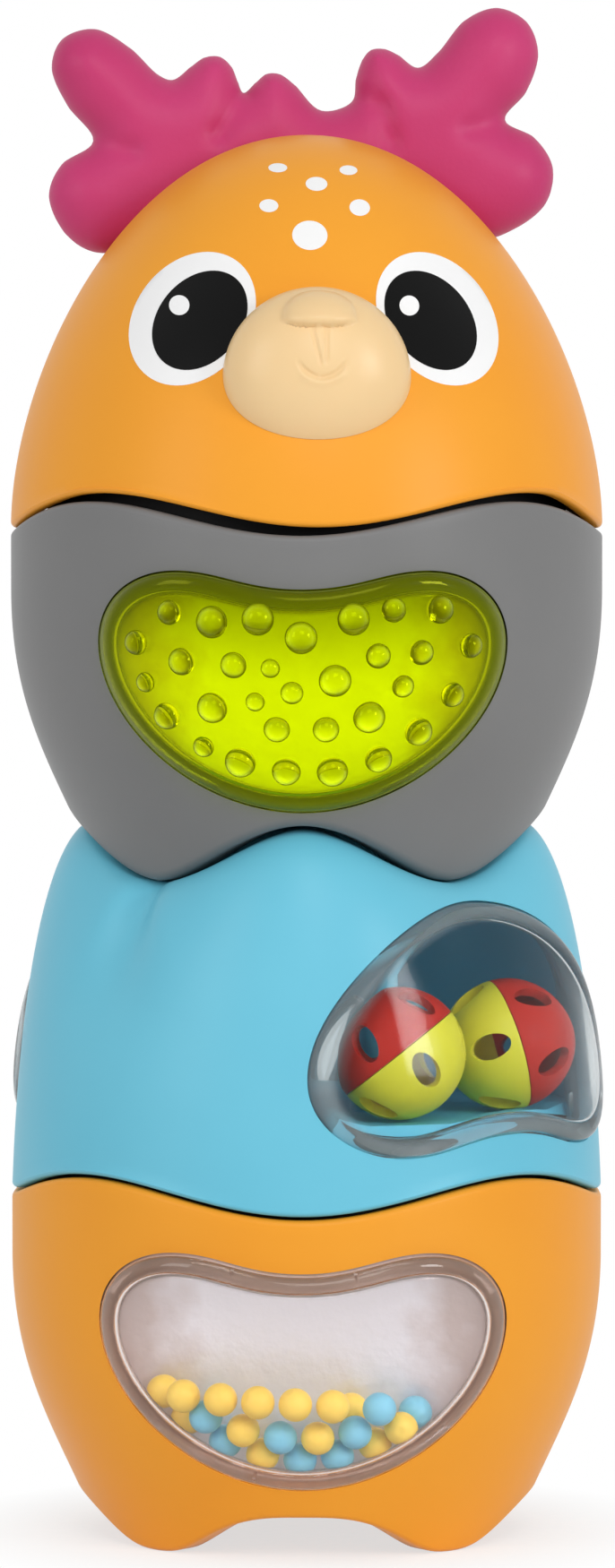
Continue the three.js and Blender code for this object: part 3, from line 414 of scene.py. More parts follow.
# The foil's second colour is painted shade at its ends
mirror_foil = silver_foil("silver_mirror_foil", "#eff3fc", "#cfc5c4", 0.42, 0.3)
screw_steel = silver_foil("zinc_plated_screw", "#b9bbbd", "#b9bbbd", 0.32, 0.02)


# Modelling helpers
def only(piece):
    bpy.ops.object.select_all(action="DESELECT")
    piece.select_set(True)
    bpy.context.view_layer.objects.active = piece


def apply(piece, kind, **settings):
    """Puts a modifier on a piece and applies it."""
    modifier = piece.modifiers.new(kind.lower(), kind)
    for name, value in settings.items():
        setattr(modifier, name, value)
    only(piece)
    bpy.ops.object.modifier_apply(modifier=modifier.name)
    return piece


def combine(piece, tool, operation):
    """Joins another closed form to a piece, or cuts it away, and drops the form."""
    apply(piece, "BOOLEAN", object=tool, operation=operation, solver="MANIFOLD")
    bpy.data.objects.remove(tool)
    return piece


def face_outwards(piece):
    only(piece)
    bpy.ops.object.mode_set(mode="EDIT")
    bpy.ops.mesh.select_all(action="SELECT")
    bpy.ops.mesh.remove_doubles(threshold=0.0005)
    bpy.ops.mesh.normals_make_consistent(inside=False)
    bpy.ops.object.mode_set(mode="OBJECT")
    return piece


def new_piece(name):
    """The primitive that was just added, under its own name and with its place in its mesh."""
    piece = bpy.context.active_object
    piece.name = name
    piece.data.name = name
    only(piece)
    bpy.ops.object.transform_apply(location=True, rotation=True, scale=True)
    return piece


def set_out(name, mesh):
    piece = bpy.data.objects.new(name, mesh)
    bpy.context.scene.collection.objects.link(piece)
    return piece


def copy_of(piece, name):
    return set_out(name, piece.data.copy())


def meshed(name, points, faces):
    mesh = bpy.data.meshes.new(name)
    mesh.from_pydata(points, [], faces)
    return face_outwards(set_out(name, mesh))


def select_points(piece, chosen):
    """Opens a piece for editing with only the chosen points selected."""
    only(piece)
    bpy.ops.object.mode_set(mode="EDIT")
    bpy.ops.mesh.select_mode(type="VERT")
    bpy.ops.mesh.select_all(action="DESELECT")
    bpy.ops.object.mode_set(mode="OBJECT")
    for vertex in piece.data.vertices:
        vertex.select = chosen(vertex.co)
    bpy.ops.object.mode_set(mode="EDIT")


def ease_edges(piece, width, segments):
    return apply(
        piece, "BEVEL", width=width, segments=segments, limit_method="ANGLE", angle_limit=math.radians(40),
    )


def skin(name, rings):
    """One closed form over a stack of rings of points; a ring of one point is a pole."""
    points = [point for ring in rings for point in ring]
    faces = []
    first = 0
    for lower, upper in zip(rings, rings[1:]):
        above = first + len(lower)
        count = max(len(lower), len(upper))
        for i in range(count):
            j = (i + 1) % count
            corners = [first + i % len(lower), first + j % len(lower)]
            corners += [above + j % len(upper), above + i % len(upper)]
            faces.append(list(dict.fromkeys(corners)))
        first = above
    return meshed(name, points, faces)


def post(radius, bottom, top, x=0, y=0):
    bpy.ops.mesh.primitive_cylinder_add(
        vertices=40, radius=radius, depth=top - bottom, location=(x, y, (bottom + top) / 2),
    )
    return new_piece("post")


def post_places():
    turns = [(foot + 0.5) * 2 * math.pi / FEET for foot in range(FEET)]
    return [(POST_CIRCLE * math.sin(turn), -POST_CIRCLE * math.cos(turn)) for turn in turns]


def finish(piece, body, slot, material, nodes=(), lift=0.0, turn=0.0, sharp=38):
    """Sets a piece on its tier, brings it to metres, and gives it its finish and its body."""
    piece.data.transform(Matrix.Translation((0, 0, lift)) @ Matrix.Rotation(turn, 4, "Z"))
    piece.data.transform(Matrix.Scale(1 / TO_MM, 4))
    only(piece)
    bpy.ops.object.shade_smooth_by_angle(angle=math.radians(sharp))
    piece.data.materials.clear()
    piece.data.materials.append(material)
    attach(piece, body)
    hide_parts(*nodes)
    return piece


# Forms that the tiers share
def lerp(a, b, share):
    return a + (b - a) * share


def steps(count):
    return [i / count for i in range(count + 1)]


def ease(value, low, high):
    share = min(1, max(0, (value - low) / (high - low)))
    return share * share * (3 - 2 * share)


def bezier(points, t):
    u = 1 - t
    weights = (u * u * u, 3 * u * u * t, 3 * u * t * t, t * t * t)
    return tuple(sum(w * point[k] for w, point in zip(weights, points)) for k in (0, 1))


def parameter_at(points, height):
    """Where along a rising profile curve a height is reached."""
    (_, a), (_, b), (_, c), (_, d) = points
    low, high = 0, 1
    for _ in range(24):
        t = (low + high) / 2
        u = 1 - t
        if u * u * (u * a + 3 * t * b) + t * t * (3 * u * c + t * d) < height:
            low = t
        else:
            high = t
    return low


def wave(angle):
    """1 between two feet, 0 at a foot."""
    return (1 + math.cos(FEET * angle)) / 2


def rim_height(angle):
    return SEAM_WAVE * (1 - wave(angle))


def arch_height(arch, angle):
    share = 1 - (1 - wave(angle)) ** arch["ease"]
    from_middle = math.hypot(math.remainder(angle, 2 * math.pi / FEET), PEAK_ROUND) - PEAK_ROUND
    share = lerp(share, 1 - from_middle * FEET / math.pi, arch["straight"])
    cut = arch["cut"]
    height = (arch["rise"] + cut) * share - cut
    return (height + cut + math.hypot(height, SOLE_EASE) - math.hypot(cut, SOLE_EASE)) / 2


def underside(arch, radius, angle):
    return lerp(arch["middle"], arch_height(arch, angle), ease(radius, FLANK_RADIUS, SOLE_RADIUS))


BODY_SIDE = (
    (FOOT_RADIUS, 0),
    (FOOT_RADIUS + FOOT_FLARE, FOOT_RUN),
    (RIM_RADIUS, BODY_HEIGHT - BELLY_FROM_RIM),
    (RIM_RADIUS, BODY_HEIGHT - UPRIGHT_FROM_RIM),
)


def body_radius(z, angle=0):
    """The cups' outer radius at a height, the same at every angle."""
    if z >= BODY_HEIGHT - UPRIGHT_FROM_RIM:
        return RIM_RADIUS
    return bezier(BODY_SIDE, parameter_at(BODY_SIDE, z))[0]


def crown_height(radius, angle):
    gap = lerp(FIT, RIDGE_GAP, wave(angle)) + 4 * FLANK_GAP * wave(angle) * (1 - wave(angle))
    return CAP_RISE + underside(UPPER_ARCH, radius, angle) - gap


def cap_side(angle, inset=0):
    edge = crown_height(CROWN_RADIUS, angle) - inset
    shoulder = lerp(SEAT_ROUND, RIDGE_ROUND, wave(angle))
    return (
        (RIM_RADIUS - inset, 0),
        (RIM_RADIUS - CAP_LEAN - inset, CAP_SHOULDER),
        (CROWN_RADIUS + shoulder - inset, edge),
        (CROWN_RADIUS - inset, edge),
    )


def crease(angle, z):
    """Depth of the soft fold that runs down the cap's side from under a foot, clear of the windows."""
    folds = [turn + math.pi / 2 for turn in CAP_WINDOW_TURNS.values()]
    off = min(abs(math.remainder(angle - fold, 2 * math.pi)) for fold in folds)
    width = lerp(CREASE_WIDTH[0], CREASE_WIDTH[1], ease(z, CAP_RISE, CAP_RISE - CREASE_LENGTH))
    return CREASE_DEPTH * ease(z, CAP_RISE - CREASE_LENGTH, CAP_RISE) * math.exp(-(off / width) ** 2)


def cap_radius(z, angle):
    side = cap_side(angle)
    return bezier(side, parameter_at(side, z))[0]


def head_side(inset=0):
    return (
        (RIM_RADIUS - inset, 0),
        (RIM_RADIUS - HEAD_LEAN - inset, HEAD_WAIST),
        (HEAD_TOP_PULL, HEAD_HEIGHT - inset),
        (0, HEAD_HEIGHT - inset),
    )


def head_radius(z):
    return bezier(head_side(), parameter_at(head_side(), z))[0]


def on_tier(radius, angle, z):
    return Vector((radius * math.sin(angle), -radius * math.cos(angle), z))


def ring(radius, height):
    return [on_tier(radius(angle), angle, height(angle)) for angle in ANGLES]


def flat_ring(radius, z):
    return ring(lambda angle: radius, lambda angle: z)


def rim_rings(radius, rim, down):
    """The rounded edge of a wall, from its outside over the rim to its inside; down is -1 for a lower rim."""
    rings = []
    for share in steps(5):
        turn = share * math.pi / 2
        inset = RIM_ROUND * (1 - math.cos(turn))
        drop = RIM_ROUND * (1 - math.sin(turn))
        rings.append(ring(lambda a: radius(a) - inset, lambda a: rim(a) - down * drop))
    for share in steps(4):
        turn = share * math.pi / 2
        inset = WALL - RIM_ROUND / 2 * (1 - math.sin(turn))
        drop = RIM_ROUND / 2 * (1 - math.cos(turn))
        rings.append(ring(lambda a: radius(a) - inset, lambda a: rim(a) - down * drop))
    return rings


# Footed cups of the two bodies
def footed_cup(name, arch, plate_floor):
    def edge(angle):
        return arch_height(arch, angle)

    def rim(angle):
        return BODY_HEIGHT + rim_height(angle)

    def under(radius, lift):
        return ring(lambda a: radius, lambda a: underside(arch, radius, a) + lift)

    def wall(height, inset):
        return ring(lambda a: body_radius(height(a)) - inset, height)

    middle, foot_round = arch["middle"], arch["edge"]
    lip = FLANK_RADIUS - FLOOR_LIP
    if plate_floor:
        rings = [flat_ring(lip, middle + WALL / 2), flat_ring(FLANK_RADIUS, middle + WALL / 2)]
    else:
        rings = [[Vector((0, 0, middle))]]
        rings += [flat_ring(FLANK_RADIUS * share, middle) for share in steps(3)[1:-1]]
    rings += [under(lerp(FLANK_RADIUS, SOLE_RADIUS, share), 0) for share in steps(8)]
    rings.append(ring(
        lambda a: lerp(SOLE_RADIUS, body_radius(edge(a)) - foot_round, 0.5), edge,
    ))
    for share in steps(5):
        turn = share * math.pi / 2
        inset = foot_round * (1 - math.sin(turn))
        lift = foot_round * (1 - math.cos(turn))
        rings.append(wall(lambda a: edge(a) + lift, inset))
    for share in steps(40)[1:]:
        rings.append(wall(lambda a: lerp(edge(a) + foot_round, rim(a) - RIM_ROUND, share), 0))
    rings += rim_rings(lambda a: RIM_RADIUS, rim, 1)[1:]
    for share in steps(16)[1:]:
        rings.append(wall(lambda a: lerp(rim(a) - RIM_ROUND, edge(a) + WALL + foot_round, share), WALL))
    rings += [under(lerp(SOLE_RADIUS, FLANK_RADIUS, share), WALL) for share in steps(6)]
    if plate_floor:
        rings += [flat_ring(lip, middle + WALL), flat_ring(lip, middle + WALL / 2)]
    else:
        rings += [flat_ring(FLANK_RADIUS / 2, middle + WALL), [Vector((0, 0, middle + WALL))]]
    return skin(name, rings)


def with_screw_seats(piece, plate):
    """Bosses on a plate, each with a recess and a hole for its screw."""
    for x, y in post_places():
        combine(piece, post(BOSS_RADIUS, plate + WALL / 2, plate + WALL + BOSS_RISE, x, y), "UNION")
    for x, y in post_places():
        radius, depth = SCREW_RECESS
        combine(piece, post(radius, plate - WALL, plate + depth, x, y), "DIFFERENCE")
        combine(piece, post(SCREW_HOLE, plate, plate + 2 * WALL + BOSS_RISE, x, y), "DIFFERENCE")
    return piece


def lathe(name, profile):
    """A turned form from its profile of radius and height, with its edges eased."""
    rings = [[Vector((0, 0, z))] if radius == 0 else flat_ring(radius, z) for radius, z in profile]
    return ease_edges(skin(name, rings), PLATE_EDGE, 2)


def deck(name):
    flange = RIM_RADIUS - WALL - 3 * FIT
    under = BODY_HEIGHT - DECK_DROP
    top = BODY_HEIGHT + COLLAR_HEIGHT
    return lathe(name, [
        (0, top),
        (COLLAR_RADIUS - RIM_ROUND, top),
        (COLLAR_RADIUS, top - RIM_ROUND),
        (COLLAR_RADIUS, under + DECK_WALL),
        (flange, under + DECK_WALL),
        (flange, under),
        (COLLAR_RADIUS - DECK_WALL, under),
        (COLLAR_RADIUS - DECK_WALL, top - DECK_WALL),
        (0, top - DECK_WALL),
    ])


def floor_plate(name, profile, plate):
    return with_screw_seats(lathe(name, profile), plate)


# Windows
def window_outline(top, bottom, inverted=False):
    """Points across and up round a kidney-shaped window, with their outward directions."""
    half, lobe, dip = WINDOW_HALF_WIDTH, WINDOW_LOBE, top - WINDOW_DIP
    widest = top - WINDOW_WIDEST
    right = [
        ((0, dip), (lobe * 0.46, dip), (lobe * 0.66, top), (lobe, top)),
        ((lobe, top), (lerp(lobe, half, 0.58), top), (half, lerp(top, widest, 0.385)), (half, widest)),
        ((half, widest), (half, lerp(widest, bottom, 0.46)), (half * 0.54, bottom), (0, bottom)),
    ]
    left = [tuple((-x, z) for x, z in reversed(curve)) for curve in reversed(right)]
    points = [bezier(curve, t) for curve in right + left for t in steps(OUTLINE_STEPS)[:-1]]
    count = len(points)
    outward = []
    for i in range(count):
        (x0, z0), (x1, z1) = points[i - 1], points[(i + 1) % count]
        outward.append(Vector((z0 - z1, x1 - x0)).normalized())
    if inverted:
        points = [(x, top + bottom - z) for x, z in points]
        outward = [Vector((x, -z)) for x, z in outward]
    return {
        "points": points, "outward": outward, "middle": (0, (top + bottom) / 2),
        "narrow_end": top if inverted else bottom,
    }


def outset(window, width, fading=False):
    moved = []
    for (x, z), out in zip(window["points"], window["outward"]):
        share = ease(abs(z - window["narrow_end"]), 0, FLANGE_FADE) if fading else 1
        moved.append((x + out.x * width * share, z + out.y * width * share))
    return moved


def shrunk(window, share, edge=0.0):
    """The outline, drawn in towards the middle."""
    centre_x, centre_z = window["middle"]
    return [(lerp(centre_x, x, share), lerp(centre_z, z, share)) for x, z in outset(window, edge)]


def on_wall(surface, points, proud):
    """Lays points across and up on a tier's wall, a given height proud of it."""
    laid = []
    for x, z in points:
        depth = RIM_RADIUS
        for _ in range(5):
            radius = surface(z, math.atan2(x, depth)) + proud
            depth = math.sqrt(max(radius * radius - x * x, 1))
        laid.append(Vector((x, -depth, z)))
    return laid


def on_plane(points, depth):
    return [Vector((x, -depth, z)) for x, z in points]


def window_plug(name, points, window, back, front):
    middle = [window["middle"]]
    return skin(name, [
        on_plane(middle, back), on_plane(points, back), on_plane(points, front), on_plane(middle, front),
    ])


def blister(name, window, surface, proud):
    """A clear blister: domed face, rounded edge, side wall, and a flange behind the shell."""
    def edge(width, height, fading=False):
        return on_wall(surface, outset(window, width, fading), height)

    face = [share * 0.995 for share in steps(14)[1:-1]] + [0.97, 0.995]
    inside = proud - LENS_FACE
    rings = [on_wall(surface, [window["middle"]], proud)]
    rings += [on_wall(surface, shrunk(window, s, -LENS_ROUND), proud) for s in face]
    for share in steps(7):
        turn = share * math.pi / 2
        rings.append(edge(
            -LENS_ROUND * (1 - math.sin(turn)), proud - LENS_ROUND * (1 - math.cos(turn)),
        ))
    rings += [edge(0, FLANGE_FRONT), edge(FLANGE_WIDTH, FLANGE_FRONT, True)]
    rings += [edge(FLANGE_WIDTH, FLANGE_BACK, True), edge(-LENS_BACK_SIDE, FLANGE_BACK)]
    rings.append(edge(-LENS_SIDE, inside - 2 * LENS_INNER_ROUND))
    for share in steps(5):
        turn = share * math.pi / 2
        rings.append(edge(
            -LENS_SIDE - LENS_INNER_ROUND * (1 - math.cos(turn)),
            inside - LENS_INNER_ROUND * (1 - math.sin(turn)),
        ))
    inner_face = [s * 0.99 for s in reversed(steps(10)[1:])]
    rings += [
        on_wall(surface, shrunk(window, s, -LENS_SIDE - LENS_INNER_ROUND), inside) for s in inner_face
    ]
    rings.append(on_wall(surface, [window["middle"]], inside))
    return skin(name, rings)


def tray(name, window, surface):
    front = FLANGE_BACK - FIT
    back_wall = TRAY_BACK + TRAY_WALL
    return skin(name, [
        on_plane([window["middle"]], TRAY_BACK),
        on_plane(outset(window, FLANGE_WIDTH, True), TRAY_BACK),
        on_wall(surface, outset(window, FLANGE_WIDTH, True), front),
        on_wall(surface, outset(window, -LENS_BACK_SIDE), front),
        on_plane(outset(window, -LENS_BACK_SIDE), back_wall),
        on_plane([window["middle"]], back_wall),
    ])


def knob(across, up, radius):
    """A low round knob, sunk a little in the window's face and square to it."""
    place = on_wall(body_radius, [(across, up)], LENS_PROUD - KNOB_SUNK * radius)[0]
    slope = body_radius(up + 1) - body_radius(up)
    way = Vector((place.x, place.y, -slope * math.hypot(place.x, place.y)))
    bpy.ops.mesh.primitive_uv_sphere_add(segments=40, ring_count=24, radius=radius)
    made = new_piece("knob")
    for vertex in made.data.vertices:
        vertex.co.z *= KNOB_RISE if vertex.co.z > 0 else KNOB_ROOT
    made.data.transform(Matrix.Translation(place) @ way.to_track_quat("Z", "Y").to_matrix().to_4x4())
    return made


def haze_rim(piece, window, widths, share):
    """Marks how far a window mixes to its edge colour, partly haze and partly painted shade: most along its
    outer edge, fading inwards between two widths.
    """
    outline = kdtree.KDTree(len(window["points"]))
    for k, (x, z) in enumerate(window["points"]):
        outline.insert((x, 0, z), k)
    outline.balance()
    rim = []
    for vertex in piece.data.vertices:
        from_edge = outline.find((vertex.co.x, 0, vertex.co.z))[2]
        rim.append(share * (1 - ease(from_edge, *widths)))
    piece.data.attributes.new("rim", "FLOAT", "POINT").data.foreach_set("value", rim)


def weld_mark(across, edge, window):
    """A thin groove across the rounded top or bottom edge of a window."""
    above = edge == "top"
    marks = [k for k, (_, z) in enumerate(window["points"]) if (z > window["middle"][1]) == above]
    nearest = min(marks, key=lambda k: abs(window["points"][k][0] - across))
    (x, z), out = window["points"][nearest], window["outward"][nearest]
    spot = (x - WELD_MARK_INSET * out.x, z - WELD_MARK_INSET * out.y)
    place = on_wall(body_radius, [spot], LENS_PROUD)[0]
    bpy.ops.mesh.primitive_cube_add(size=1, scale=WELD_MARK_SIZE)
    groove = new_piece("groove")
    turn = Matrix.Rotation(math.atan2(out.x, out.y), 4, "Y")
    groove.data.transform(Matrix.Translation(place) @ turn)
    return groove


# Caps
def cap_rings(inset):
    rings = [[Vector((0, 0, crown_height(0, 0) - inset))]]
    flat = [FLANK_RADIUS * share for share in steps(4)[1:-1]]
    flanks = [lerp(FLANK_RADIUS, SOLE_RADIUS, share) for share in steps(10)]
    for radius in (*flat, *flanks, CROWN_RING):
        rings.append(ring(lambda a: radius, lambda a: crown_height(radius, a) - inset))
    for share in steps(44):
        points = []
        for angle in ANGLES:
            side = cap_side(angle, inset)
            t = lerp(1, parameter_at(side, rim_height(angle) + RIM_ROUND), share)
            radius, z = bezier(side, t)
            points.append(on_tier(radius - crease(angle, z), angle, z))
        rings.append(points)
    return rings


def head_rim(angle):
    """The head's lower edge, lower at its sides but clear of the body's wave, which it is turned from."""
    gap = HEAD_GAP + rim_height(angle) - rim_height(angle + HEAD_TURN)
    drop = max(0, min(HEAD_SIDE_DROP, gap - HEAD_SIDE_GAP))
    return rim_height(angle) - drop * ease(abs(math.sin(angle)), *HEAD_SIDE_FADE)


def head_rings(inset):
    side = head_side(inset)
    rings = [[Vector((0, 0, HEAD_HEIGHT - inset))]]
    for share in steps(56)[1:]:
        points = []
        for angle in ANGLES:
            t = lerp(1, parameter_at(side, head_rim(angle) + RIM_ROUND), share)
            radius, z = bezier(side, t)
            points.append(on_tier(radius, angle, z))
        rings.append(points)
    return rings


def dome_shell(name, rings_of, rim):
    edge = rim_rings(lambda a: RIM_RADIUS, rim, -1)
    return skin(name, rings_of(0) + edge[1:] + rings_of(WALL)[::-1])


# Base: orange cup, floor plate, deck, bead window, foil tray
body_window = window_outline(*BODY_WINDOW)
opening = window_plug("opening", outset(body_window, FIT), body_window, TRAY_BACK - FIT, OPENING_FRONT)
base_cup = footed_cup("base_cup", BASE_ARCH, True)
combine(base_cup, copy_of(opening, "base_opening"), "DIFFERENCE")
finish(base_cup, "base", "orange_shell", orange_plastic, ["base_shell"])
middle = BASE_ARCH["middle"]
floor_edge, floor_step = FLANK_RADIUS - FIT, FLANK_RADIUS - FLOOR_LIP - FIT
base_plate = floor_plate("base_plate", [
    (0, middle), (floor_edge, middle), (floor_edge, middle + WALL / 2 - FIT),
    (floor_step, middle + WALL / 2 - FIT), (floor_step, middle + WALL), (0, middle + WALL),
], middle)
finish(base_plate, "base", "orange_shell", orange_plastic, ["base_floor"])
# Base collar in near-black painted shade for the dark seam gap above it
finish(deck("base_collar"), "base", "orange_shell", shade_black_deck_plastic, ["base_deck"])
base_blister = blister("base_blister", body_window, body_radius, LENS_PROUD)
lime_blister = copy_of(base_blister, "lime_blister")
for edge, places in WELD_MARKS.items():
    for across in places:
        combine(base_blister, weld_mark(across, edge, body_window), "DIFFERENCE")
haze_rim(base_blister, body_window, CLEAR_RIM, CLEAR_HAZE)
finish(base_blister, "base", "clear_windows", clear_window, ["base_window"], sharp=50)
base_tray = tray("base_bead_tray", body_window, body_radius)
finish(base_tray, "base", "trays", tray_plastic, ["base_tray"])
foil_outline = outset(body_window, -LENS_BACK_SIDE - FIT)
base_foil = window_plug("base_foil", foil_outline, body_window, FOIL_BACK, FOIL_FRONT)
upper_foil = copy_of(base_foil, "upper_foil")
finish(base_foil, "base", "mirrors", mirror_foil, ["base_mirror"])

# Beads: moulded balls with a parting line and a small gate mark
bpy.ops.mesh.primitive_uv_sphere_add(segments=40, ring_count=24, radius=BEAD_RADIUS)
bead = new_piece("bead")
select_points(bead, lambda point: abs(point.z) < 0.01)
bpy.ops.transform.resize(value=(BEAD_SEAM_SWELL, BEAD_SEAM_SWELL, 1))
bpy.ops.object.mode_set(mode="OBJECT")
select_points(bead, lambda point: point.z > BEAD_GATE_FROM * BEAD_RADIUS)
bpy.ops.transform.translate(value=(0, 0, -BEAD_GATE_DEPTH))
bpy.ops.object.mode_set(mode="OBJECT")
for node in sorted(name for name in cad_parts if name.startswith("bead_")):
    low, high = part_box(node)
    hue = node.rsplit("_", 1)[1]
    copy = copy_of(bead, node.replace("bead_", "round_bead_"))
    turn = Euler([random.uniform(0, 2 * math.pi) for _ in range(3)])
    copy.data.transform(Matrix.Translation((low + high) / 2 * TO_MM) @ turn.to_matrix().to_4x4())
    plastic = yellow_bead_plastic if hue == "yellow" else blue_bead_plastic
    finish(copy, "beads", "bead_" + hue, plastic, [node], sharp=60)
bpy.data.objects.remove(bead)

# Ball cap: blue shell with posts, floor plate and two windows
cap_dome = dome_shell("cap_dome", cap_rings, rim_height)
post_foot = CAP_FLOOR + WALL + BOSS_RISE + FIT
for x, y in post_places():
    combine(cap_dome, post(POST_RADIUS, post_foot, crown_height(0, 0) - WALL / 2, x, y), "UNION")
cap_window = window_outline(*CAP_WINDOW, inverted=True)
cap_opening = window_plug(
    "cap_opening", outset(cap_window, FIT), cap_window, CAP_OPENING_BACK, OPENING_FRONT,
)
cap_plate_radius = cap_radius(CAP_FLOOR + WALL, 0) - WALL - 3 * FIT
cap_plate = lathe("cap_plate", [
    (0, CAP_FLOOR), (cap_plate_radius, CAP_FLOOR),
    (cap_plate_radius, CAP_FLOOR + WALL), (0, CAP_FLOOR + WALL),
])
for side, turn in CAP_WINDOW_TURNS.items():
    def turned_surface(z, angle):
        return cap_radius(z, angle + turn)

    cut = copy_of(cap_opening, "cap_cut")
    cut.data.transform(Matrix.Rotation(turn, 4, "Z"))
    combine(cap_dome, cut, "DIFFERENCE")
    room = outset(cap_window, FLANGE_WIDTH + FIT)
    lens_room = skin("lens_room", [
        on_wall(turned_surface, [cap_window["middle"]], FLANGE_BACK - FIT),
        on_wall(turned_surface, room, FLANGE_BACK - FIT),
        on_wall(turned_surface, room, LENS_PROUD),
        on_wall(turned_surface, [cap_window["middle"]], LENS_PROUD),
    ])
    lens_room.data.transform(Matrix.Rotation(turn, 4, "Z"))
    combine(cap_plate, lens_room, "DIFFERENCE")
    cap_blister = blister("cap_blister_" + side, cap_window, turned_surface, CAP_LENS_PROUD)
    haze_rim(cap_blister, cap_window, SMOKY_RIM, SMOKY_HAZE)
    cap_blister.data.transform(Matrix.Rotation(turn, 4, "Z"))
    nodes = ["cap_window_" + side]
    finish(cap_blister, "cap", "clear_windows", smoky_window, nodes, CAP_SEAT, sharp=50)
with_screw_seats(cap_plate, CAP_FLOOR)
finish(cap_dome, "cap", "blue_shell", blue_plastic, ["cap_shell"], CAP_SEAT)
finish(cap_plate, "cap", "blue_shell", blue_plastic, ["cap_floor"], CAP_SEAT)
bpy.data.objects.remove(cap_opening)

# Rattle balls: hollow halves pierced by rounded slots
bpy.ops.mesh.primitive_uv_sphere_add(segments=96, ring_count=48, radius=BALL_RADIUS)
half_ball = new_piece("half_ball")
bpy.ops.object.mode_set(mode="EDIT")
bpy.ops.mesh.select_all(action="SELECT")
bpy.ops.mesh.bisect(plane_co=(0, 0, FIT / 4), plane_no=(0, 0, 1), clear_inner=True)
bpy.ops.object.mode_set(mode="OBJECT")
apply(half_ball, "SOLIDIFY", thickness=BALL_WALL, offset=-1)
slot_way = Vector((0, math.cos(BALL_SLOT_LATITUDE), math.sin(BALL_SLOT_LATITUDE)))
for i in range(BALL_SLOTS):
    bpy.ops.mesh.primitive_cylinder_add(vertices=48, radius=1, depth=BALL_RADIUS)
    slot_cut = new_piece("slot_cut")
    shape = Matrix.Diagonal((*BALL_SLOT, 1, 1))
    lean = Matrix.Rotation(BALL_SLOT_LATITUDE - math.pi / 2, 4, "X")
    place = Matrix.Translation(slot_way * BALL_RADIUS)
    slot_cut.data.transform(Matrix.Rotation(i * 2 * math.pi / BALL_SLOTS, 4, "Z") @ place @ lean @ shape)
    combine(half_ball, slot_cut, "DIFFERENCE")
ease_edges(half_ball, BALL_EDGE, 3)
for ball, pole in BALL_POLES.items():
    low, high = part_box(ball + "_red")
    other_low, other_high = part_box(ball + "_yellow")
    lowest = [min(pair) for pair in zip(low, other_low)]
    highest = [max(pair) for pair in zip(high, other_high)]
    centre = [(a + b) / 2 * TO_MM for a, b in zip(lowest, highest)]
    for hue, way, plastic in (("red", pole, red_ball_plastic), ("yellow", -pole, yellow_ball_plastic)):
        half = copy_of(half_ball, f"{ball}_{hue}_half")
        turn = Vector((0, 0, 1)).rotation_difference(way.normalized()).to_matrix().to_4x4()
        spin = Matrix.Rotation(math.radians(BALL_TURNS[ball][hue]), 4, "Z")
        half.data.transform(Matrix.Translation(centre) @ turn @ spin)
        finish(half, ball, "ball_" + hue, plastic, [f"{ball}_{hue}"])
bpy.data.objects.remove(half_ball)

# Upper body: grey cup, deck, knobbly lime window, foil tray
upper_cup = footed_cup("upper_cup", UPPER_ARCH, False)
combine(upper_cup, opening, "DIFFERENCE")
with_screw_seats(upper_cup, UPPER_ARCH["middle"])
finish(upper_cup, "upper", "grey_shell", grey_plastic, ["upper_shell"], UPPER_SEAT)
# Upper collar in near-black painted shade for the dark seam gap above it
finish(deck("upper_collar"), "upper", "grey_shell", shade_black_deck_plastic, ["upper_deck"], UPPER_SEAT)
for across, up, radius in KNOBS:
    combine(lime_blister, knob(across, up, radius), "UNION")
haze_rim(lime_blister, body_window, LIME_RIM, LIME_HAZE_AND_SHADE)
finish(lime_blister, "upper", "lime_window", lime_window, ["upper_window"], UPPER_SEAT, sharp=40)
upper_tray = tray("upper_foil_tray", body_window, body_radius)
finish(upper_tray, "upper", "trays", tray_plastic, ["upper_tray"], UPPER_SEAT)
finish(upper_foil, "upper", "mirrors", mirror_foil, ["upper_mirror"], UPPER_SEAT)

# Head: orange dome, floor plate, printed face, crest and snout
HEAD = {"lift": HEAD_SEAT, "turn": HEAD_TURN}
head_dome = dome_shell("head_dome", head_rings, head_rim)
finish(head_dome, "head", "orange_shell", orange_plastic, ["head_shell"], **HEAD)
head_plate_radius = head_radius(HEAD_FLOOR + WALL) - WALL - 3 * FIT
head_plate = floor_plate("head_plate", [
    (0, HEAD_FLOOR), (head_plate_radius, HEAD_FLOOR),
    (head_plate_radius, HEAD_FLOOR + WALL), (0, HEAD_FLOOR + WALL),
], HEAD_FLOOR)
finish(head_plate, "head", "orange_shell", orange_plastic, ["head_floor"], **HEAD)
proud_dome = skin("proud_dome", head_rings(-DOME_CLEAR) + [[Vector((0, 0, 0))]])


# Crest: soft antlers swollen from their outline, with creases between the lobes
def smooth_loop(points, spans):
    """A closed curve through points, without overshoot at the notches."""
    curve = []
    for i in range(len(points)):
        a, b, c, d = (Vector(points[(i + k) % len(points)]) for k in (-1, 0, 1, 2))
        before, here, after = (math.sqrt(span.length) for span in (b - a, c - b, d - c))
        leave = (b - a) * (here / before) - (c - a) * (here / (before + here)) + c - b
        arrive = c - b - (d - b) * (here / (here + after)) + (d - c) * (here / after)
        for t in steps(spans)[:-1]:
            bend = (3 * (c - b) - 2 * leave - arrive) * t * t + (2 * (b - c) + leave + arrive) * t ** 3
            curve.append(b + leave * t + bend)
    return curve


def off_segment(point, start, end):
    along = end - start
    share = min(1, max(0, (point - start).dot(along) / along.length_squared))
    return (point - start - along * share).length


